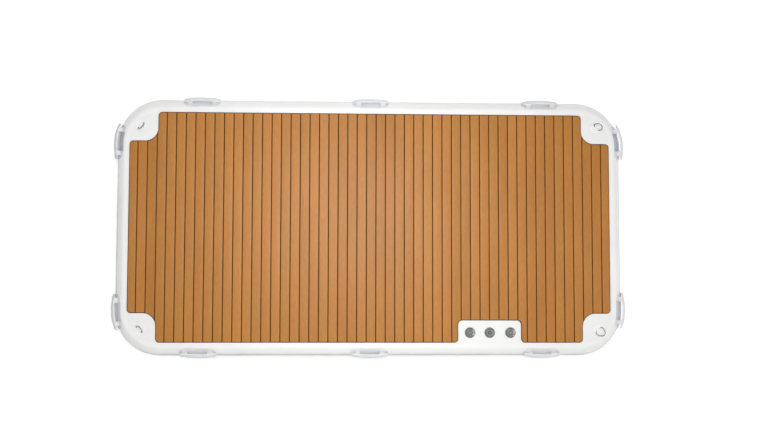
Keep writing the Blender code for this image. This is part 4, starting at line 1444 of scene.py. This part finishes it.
for side, x in VALVE_X.items():
    end = "_" + side
    radii = (0.0030, 0.0060, 0.0130, BORE_R, 0.0218, NECK_R, VALVE_FLANGE_R - 0.0020, VALVE_FLANGE_R)
    levels = (SEAT_Z, HUB_Z0, HUB_Z1, FLANGE_Z0, FLANGE_Z1 - 0.0020, FLANGE_Z1 - 0.0007, FLANGE_Z1)

    def filled(a, r, z):
        spoke = (a // 4) % 8 == 0
        if r == 0:
            return z == 1
        if r == 1:
            return z == 1 and spoke
        if r == 2:
            return z == 0 or (z == 1 and spoke)
        if r == 3:
            return z <= 3
        if r == 4:
            return z <= 5
        return z >= 3

    polar_body("inflation_body" + end, levels, radii, filled, x, "valve_body" + end)
    mounting("valve", end, x)
    turned(
        "check_disc" + end,
        rounded([(0.0030, SEAT_Z - GAP - 0.0030), (0.0160, SEAT_Z - GAP - 0.0030), (0.0160, SEAT_Z - GAP), (0.0030, SEAT_Z - GAP)], 0.0006, 3),
        x,
        SEAL,
        "disc" + end,
        "valve_disc" + end,
        "seal",
    )
    button = SPRING_TOP + GAP
    turned(
        "push_stem" + end,
        rounded(
            [
                (0, 0.1160),
                (0.0050, 0.1160),
                (0.0050, SEAT_Z - 2 * GAP - 0.0030),
                (0.0026, SEAT_Z - 2 * GAP - 0.0030),
                (0.0026, button),
                (0.0070, button),
                (0.0070, 0.1480),
                (0.0038, 0.1480),
                (0.0034, 0.1475),
                (0, 0.1475),
            ],
            0.0005,
            3,
        ),
        x,
        STEM,
        "stem" + end,
        "valve_stem" + end,
        "stem",
        steps=72,
        radius_of=notched(8, 0.0007, 0.0065, button - 0.0001, 0.1481),
    )
    coil = tube(spring_line(HUB_Z1 + GAP, SPRING_TOP, 0.0050, 0.0005, 5.5), 0.0005, 10)
    coil.transform(Matrix.Translation((x, VALVE_Y, 0)))
    spring = settle(
        "return_spring" + end,
        mesh_of("return_spring" + end, coil),
        SPRING,
        "hull",
        "valve_spring" + end,
        sharp=60,
    )
    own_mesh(spring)

    cap_z = FLANGE_Z1 + GAP
    seal_z1 = -2 * GAP
    turned(
        "cap_ring" + end,
        rounded(
            [
                (0.0194, seal_z1 - 0.0012),
                (0.0203, seal_z1 - 0.0016),
                (0.0213, seal_z1 - 0.0012),
                (0.0213, seal_z1 - 0.0004),
                (0.0203, seal_z1),
                (0.0194, seal_z1 - 0.0004),
            ],
            0.0006,
            4,
        ),
        x,
        SEAL,
        "cap_seal" + end,
        "valve_cap_seal" + end,
        "seal",
        z=cap_z,
    )
    cap_profile = rounded(
        [
            (0, 0.0012),
            (0.0160, 0.0012),
            (0.0160, -0.0048),
            (0.0186, -0.0048),
            (0.0186, 0),
            (0.0285, 0),
            (0.0285, 0.0013),
            (0.0279, 0.0021),
            (0.0266, 0.0030),
            (0.0248, 0.0038),
            (0.0230, 0.0042),
            (0.0216, 0.0042),
            (0.0203, 0.0020),
            (0.0190, 0.0020),
            (0.0165, 0.0022),
            (0.0140, 0.0022),
            (0.0115, 0.0022),
            (0.0092, 0.0022),
            (0.0082, 0.0036),
            (0, 0.0036),
        ],
        0.0008,
        4,
    )
    turned(
        "screw_cap" + end,
        cap_profile,
        x,
        CAP,
        "cap" + end,
        "valve_cap" + end,
        "valve",
        steps=288,
        z=cap_z,
        radius_of=notched(12, 0.0011, 0.0276, 0.0002, 0.0038, 3.0),
        height_of=cap_height,
    )

SEAT_TOP = 0.1400
relief_radii = (0.0110, 0.0150, 0.0190, NECK_R, VALVE_FLANGE_R - 0.0020, VALVE_FLANGE_R)
relief_levels = (0.1300, SEAT_TOP, FLANGE_Z0, FLANGE_Z1 - 0.0007, FLANGE_Z1)
polar_body(
    "relief_housing",
    relief_levels,
    relief_radii,
    lambda a, r, z: z == 0 if r <= 1 else (z <= 3 if r == 2 else z >= 2),
    RELIEF_X,
    "relief_body",
)
mounting("relief", "", RELIEF_X)
turned(
    "relief_plunger",
    rounded(
        [
            (0, SEAT_TOP + GAP),
            (0.0140, SEAT_TOP + GAP),
            (0.0140, SEAT_TOP + GAP + 0.0020),
            (0.0034, SEAT_TOP + GAP + 0.0020),
            (0.0030, 0.1535),
            (0.0016, 0.1545),
            (0, 0.1545),
        ],
        0.0005,
        4,
    ),
    RELIEF_X,
    STEM,
    "poppet",
    "relief_poppet",
    "stem",
)
COVER_Z0 = FLANGE_Z1 + GAP
turned(
    "relief_cap",
    rounded(
        [
            (0.0060, -0.0012),
            (0.0145, -0.0012),
            (0.0145, 0.1495 - COVER_Z0),
            (0.0186, 0.1495 - COVER_Z0),
            (0.0186, 0),
            (0.0270, 0),
            (0.0270, 0.0014),
            (0.0248, 0.0029),
            (0.0218, 0.0029),
            (0.0204, 0.0012),
            (0.0178, 0.0010),
            (0.0168, 0.0022),
            (0.0132, 0.0022),
            (0.0118, 0.0008),
            (0.0088, 0.0007),
            (0.0060, 0.0006),
        ],
        0.0005,
        3,
    ),
    RELIEF_X,
    COVER,
    "hull",
    "relief_cover",
    "valve",
    z=COVER_Z0,
    steps=192,
    radius_of=notched(24, 0.0006, 0.0262, 0.0002, 0.0026, 3.0),
)
spring_z0, spring_z1 = SEAT_TOP + 2 * GAP + 0.0020, COVER_Z0 - 0.0012 - GAP
coil = tube(spring_line(spring_z0, spring_z1, 0.0078, 0.0006, 5.0), 0.0006, 10)
coil.transform(Matrix.Translation((RELIEF_X, VALVE_Y, 0)))
relief_coil = settle(
    "relief_coil", mesh_of("relief_coil", coil), SPRING, "hull", "relief_spring", sharp=60
)
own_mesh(relief_coil)

# the yarn inside stays as the solid has it
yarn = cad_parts["drop_stitch_yarn"]
yarn.data.materials.clear()
yarn.data.materials.append(YARN)

# ------------------------------------------------------------------ floor, light


def floor_finish():
    f = Finish("studio_floor", (0.90, 0.90, 0.90), 0.9, **{"Specular_IOR_Level": 0.1})
    at = f.place()
    f.set("Base Color", f.shade(f.mix(0.0, (0.90, 0.90, 0.90), (1, 1, 1)), f.span(f.noise(at, 0.8), 0.3, 0.7, 0.995, 1.005)))
    f.set("Emission Color", (1.0, 1.0, 1.0, 1.0))
    # the sheet is lit from below, more so away from the middle
    away = f.node("ShaderNodeVectorMath", {0: f.mapped(at, (0.62, 1.0, 1.0))}, operation="LENGTH")
    f.set("Emission Strength", f.span(away.outputs["Value"], 0.8, 2.2, 0.19, 0.66))
    return f.mat


bm = bmesh.new()
bmesh.ops.create_grid(bm, x_segments=24, y_segments=24, size=240.0)
floor_mesh = bpy.data.meshes.new("studio_floor")
bm.to_mesh(floor_mesh)
bm.free()
floor_mesh.materials.append(floor_finish())
floor = bpy.data.objects.new("studio_floor", floor_mesh)
scene.collection.objects.link(floor)

world = bpy.data.worlds.new("studio")
world.use_nodes = True
scene.world = world
tree = world.node_tree
background = tree.nodes["Background"]
coords = tree.nodes.new("ShaderNodeTexCoord")
split = tree.nodes.new("ShaderNodeSeparateXYZ")
tree.links.new(coords.outputs["Generated"], split.inputs[0])
ramp = tree.nodes.new("ShaderNodeValToRGB")
tree.links.new(split.outputs["Z"], ramp.inputs["Fac"])
ramp.color_ramp.elements[0].position = 0.0
ramp.color_ramp.elements[0].color = (0.50, 0.503, 0.506, 1.0)
ramp.color_ramp.elements[1].position = 0.8
ramp.color_ramp.elements[1].color = (0.80, 0.81, 0.82, 1.0)
# the studio is dim towards -X and bright towards +X
fall = tree.nodes.new("ShaderNodeMapRange")
fall.inputs["From Min"].default_value, fall.inputs["From Max"].default_value = -1.0, -0.2
fall.inputs["To Min"].default_value, fall.inputs["To Max"].default_value = 0.2, 1.0
tree.links.new(split.outputs["X"], fall.inputs["Value"])
shade = tree.nodes.new("ShaderNodeVectorMath")
shade.operation = "SCALE"
tree.links.new(ramp.outputs["Color"], shade.inputs[0])
tree.links.new(fall.outputs[0], shade.inputs["Scale"])
tree.links.new(shade.outputs[0], background.inputs["Color"])
background.inputs["Strength"].default_value = 0.40


def softbox(name, at, look, size, watts, color=(1, 1, 1)):
    data = bpy.data.lights.new(name, "AREA")
    data.shape = "RECTANGLE"
    data.size, data.size_y = size
    data.energy = watts
    data.color = color
    light = bpy.data.objects.new(name, data)
    scene.collection.objects.link(light)
    light.location = at
    way = Vector(look) - Vector(at)
    light.rotation_euler = way.to_track_quat("-Z", "Y").to_euler()
    return light


key = softbox("key", (-0.06, 0.42, 4.3), (-0.04, 0.16, 0.0), (1.2, 2.9), 61.5, (1.0, 0.995, 0.985))
key.data.spread = math.radians(120)
softbox("top_front", (0.4, -2.2, 4.0), (0.2, -0.7, 0.0), (4.0, 0.9), 13.0, (1.0, 0.98, 0.95))
softbox("fill_front", (0.2, -3.7, 2.9), (0.1, -0.9, 0.0), (4.4, 1.0), 21.0, (1.0, 0.985, 0.96))
softbox("top_left", (-3.8, 0.1, 2.9), (-1.3, 0.0, 0.0), (1.4, 2.2), 15.5, (1.0, 1.0, 1.0))
softbox("top_right", (3.2, -0.2, 3.4), (1.0, 0.0, 0.0), (1.6, 2.2), 4.5, (1.0, 1.0, 1.0))
softbox("rim_back", (-0.4, 5.2, 1.1), (0.0, 0.8, 0.1), (5.0, 1.2), 12.0, (0.95, 0.97, 1.0))
softbox("rim_right", (4.6, -0.9, 2.1), (0.8, -0.5, 0.0), (0.6, 0.4), 22.0, (1.0, 1.0, 1.0))

scene.view_settings.view_transform = "Standard"
scene.view_settings.look = "None"
scene.view_settings.exposure = 0.0
scene.view_settings.gamma = 1.0
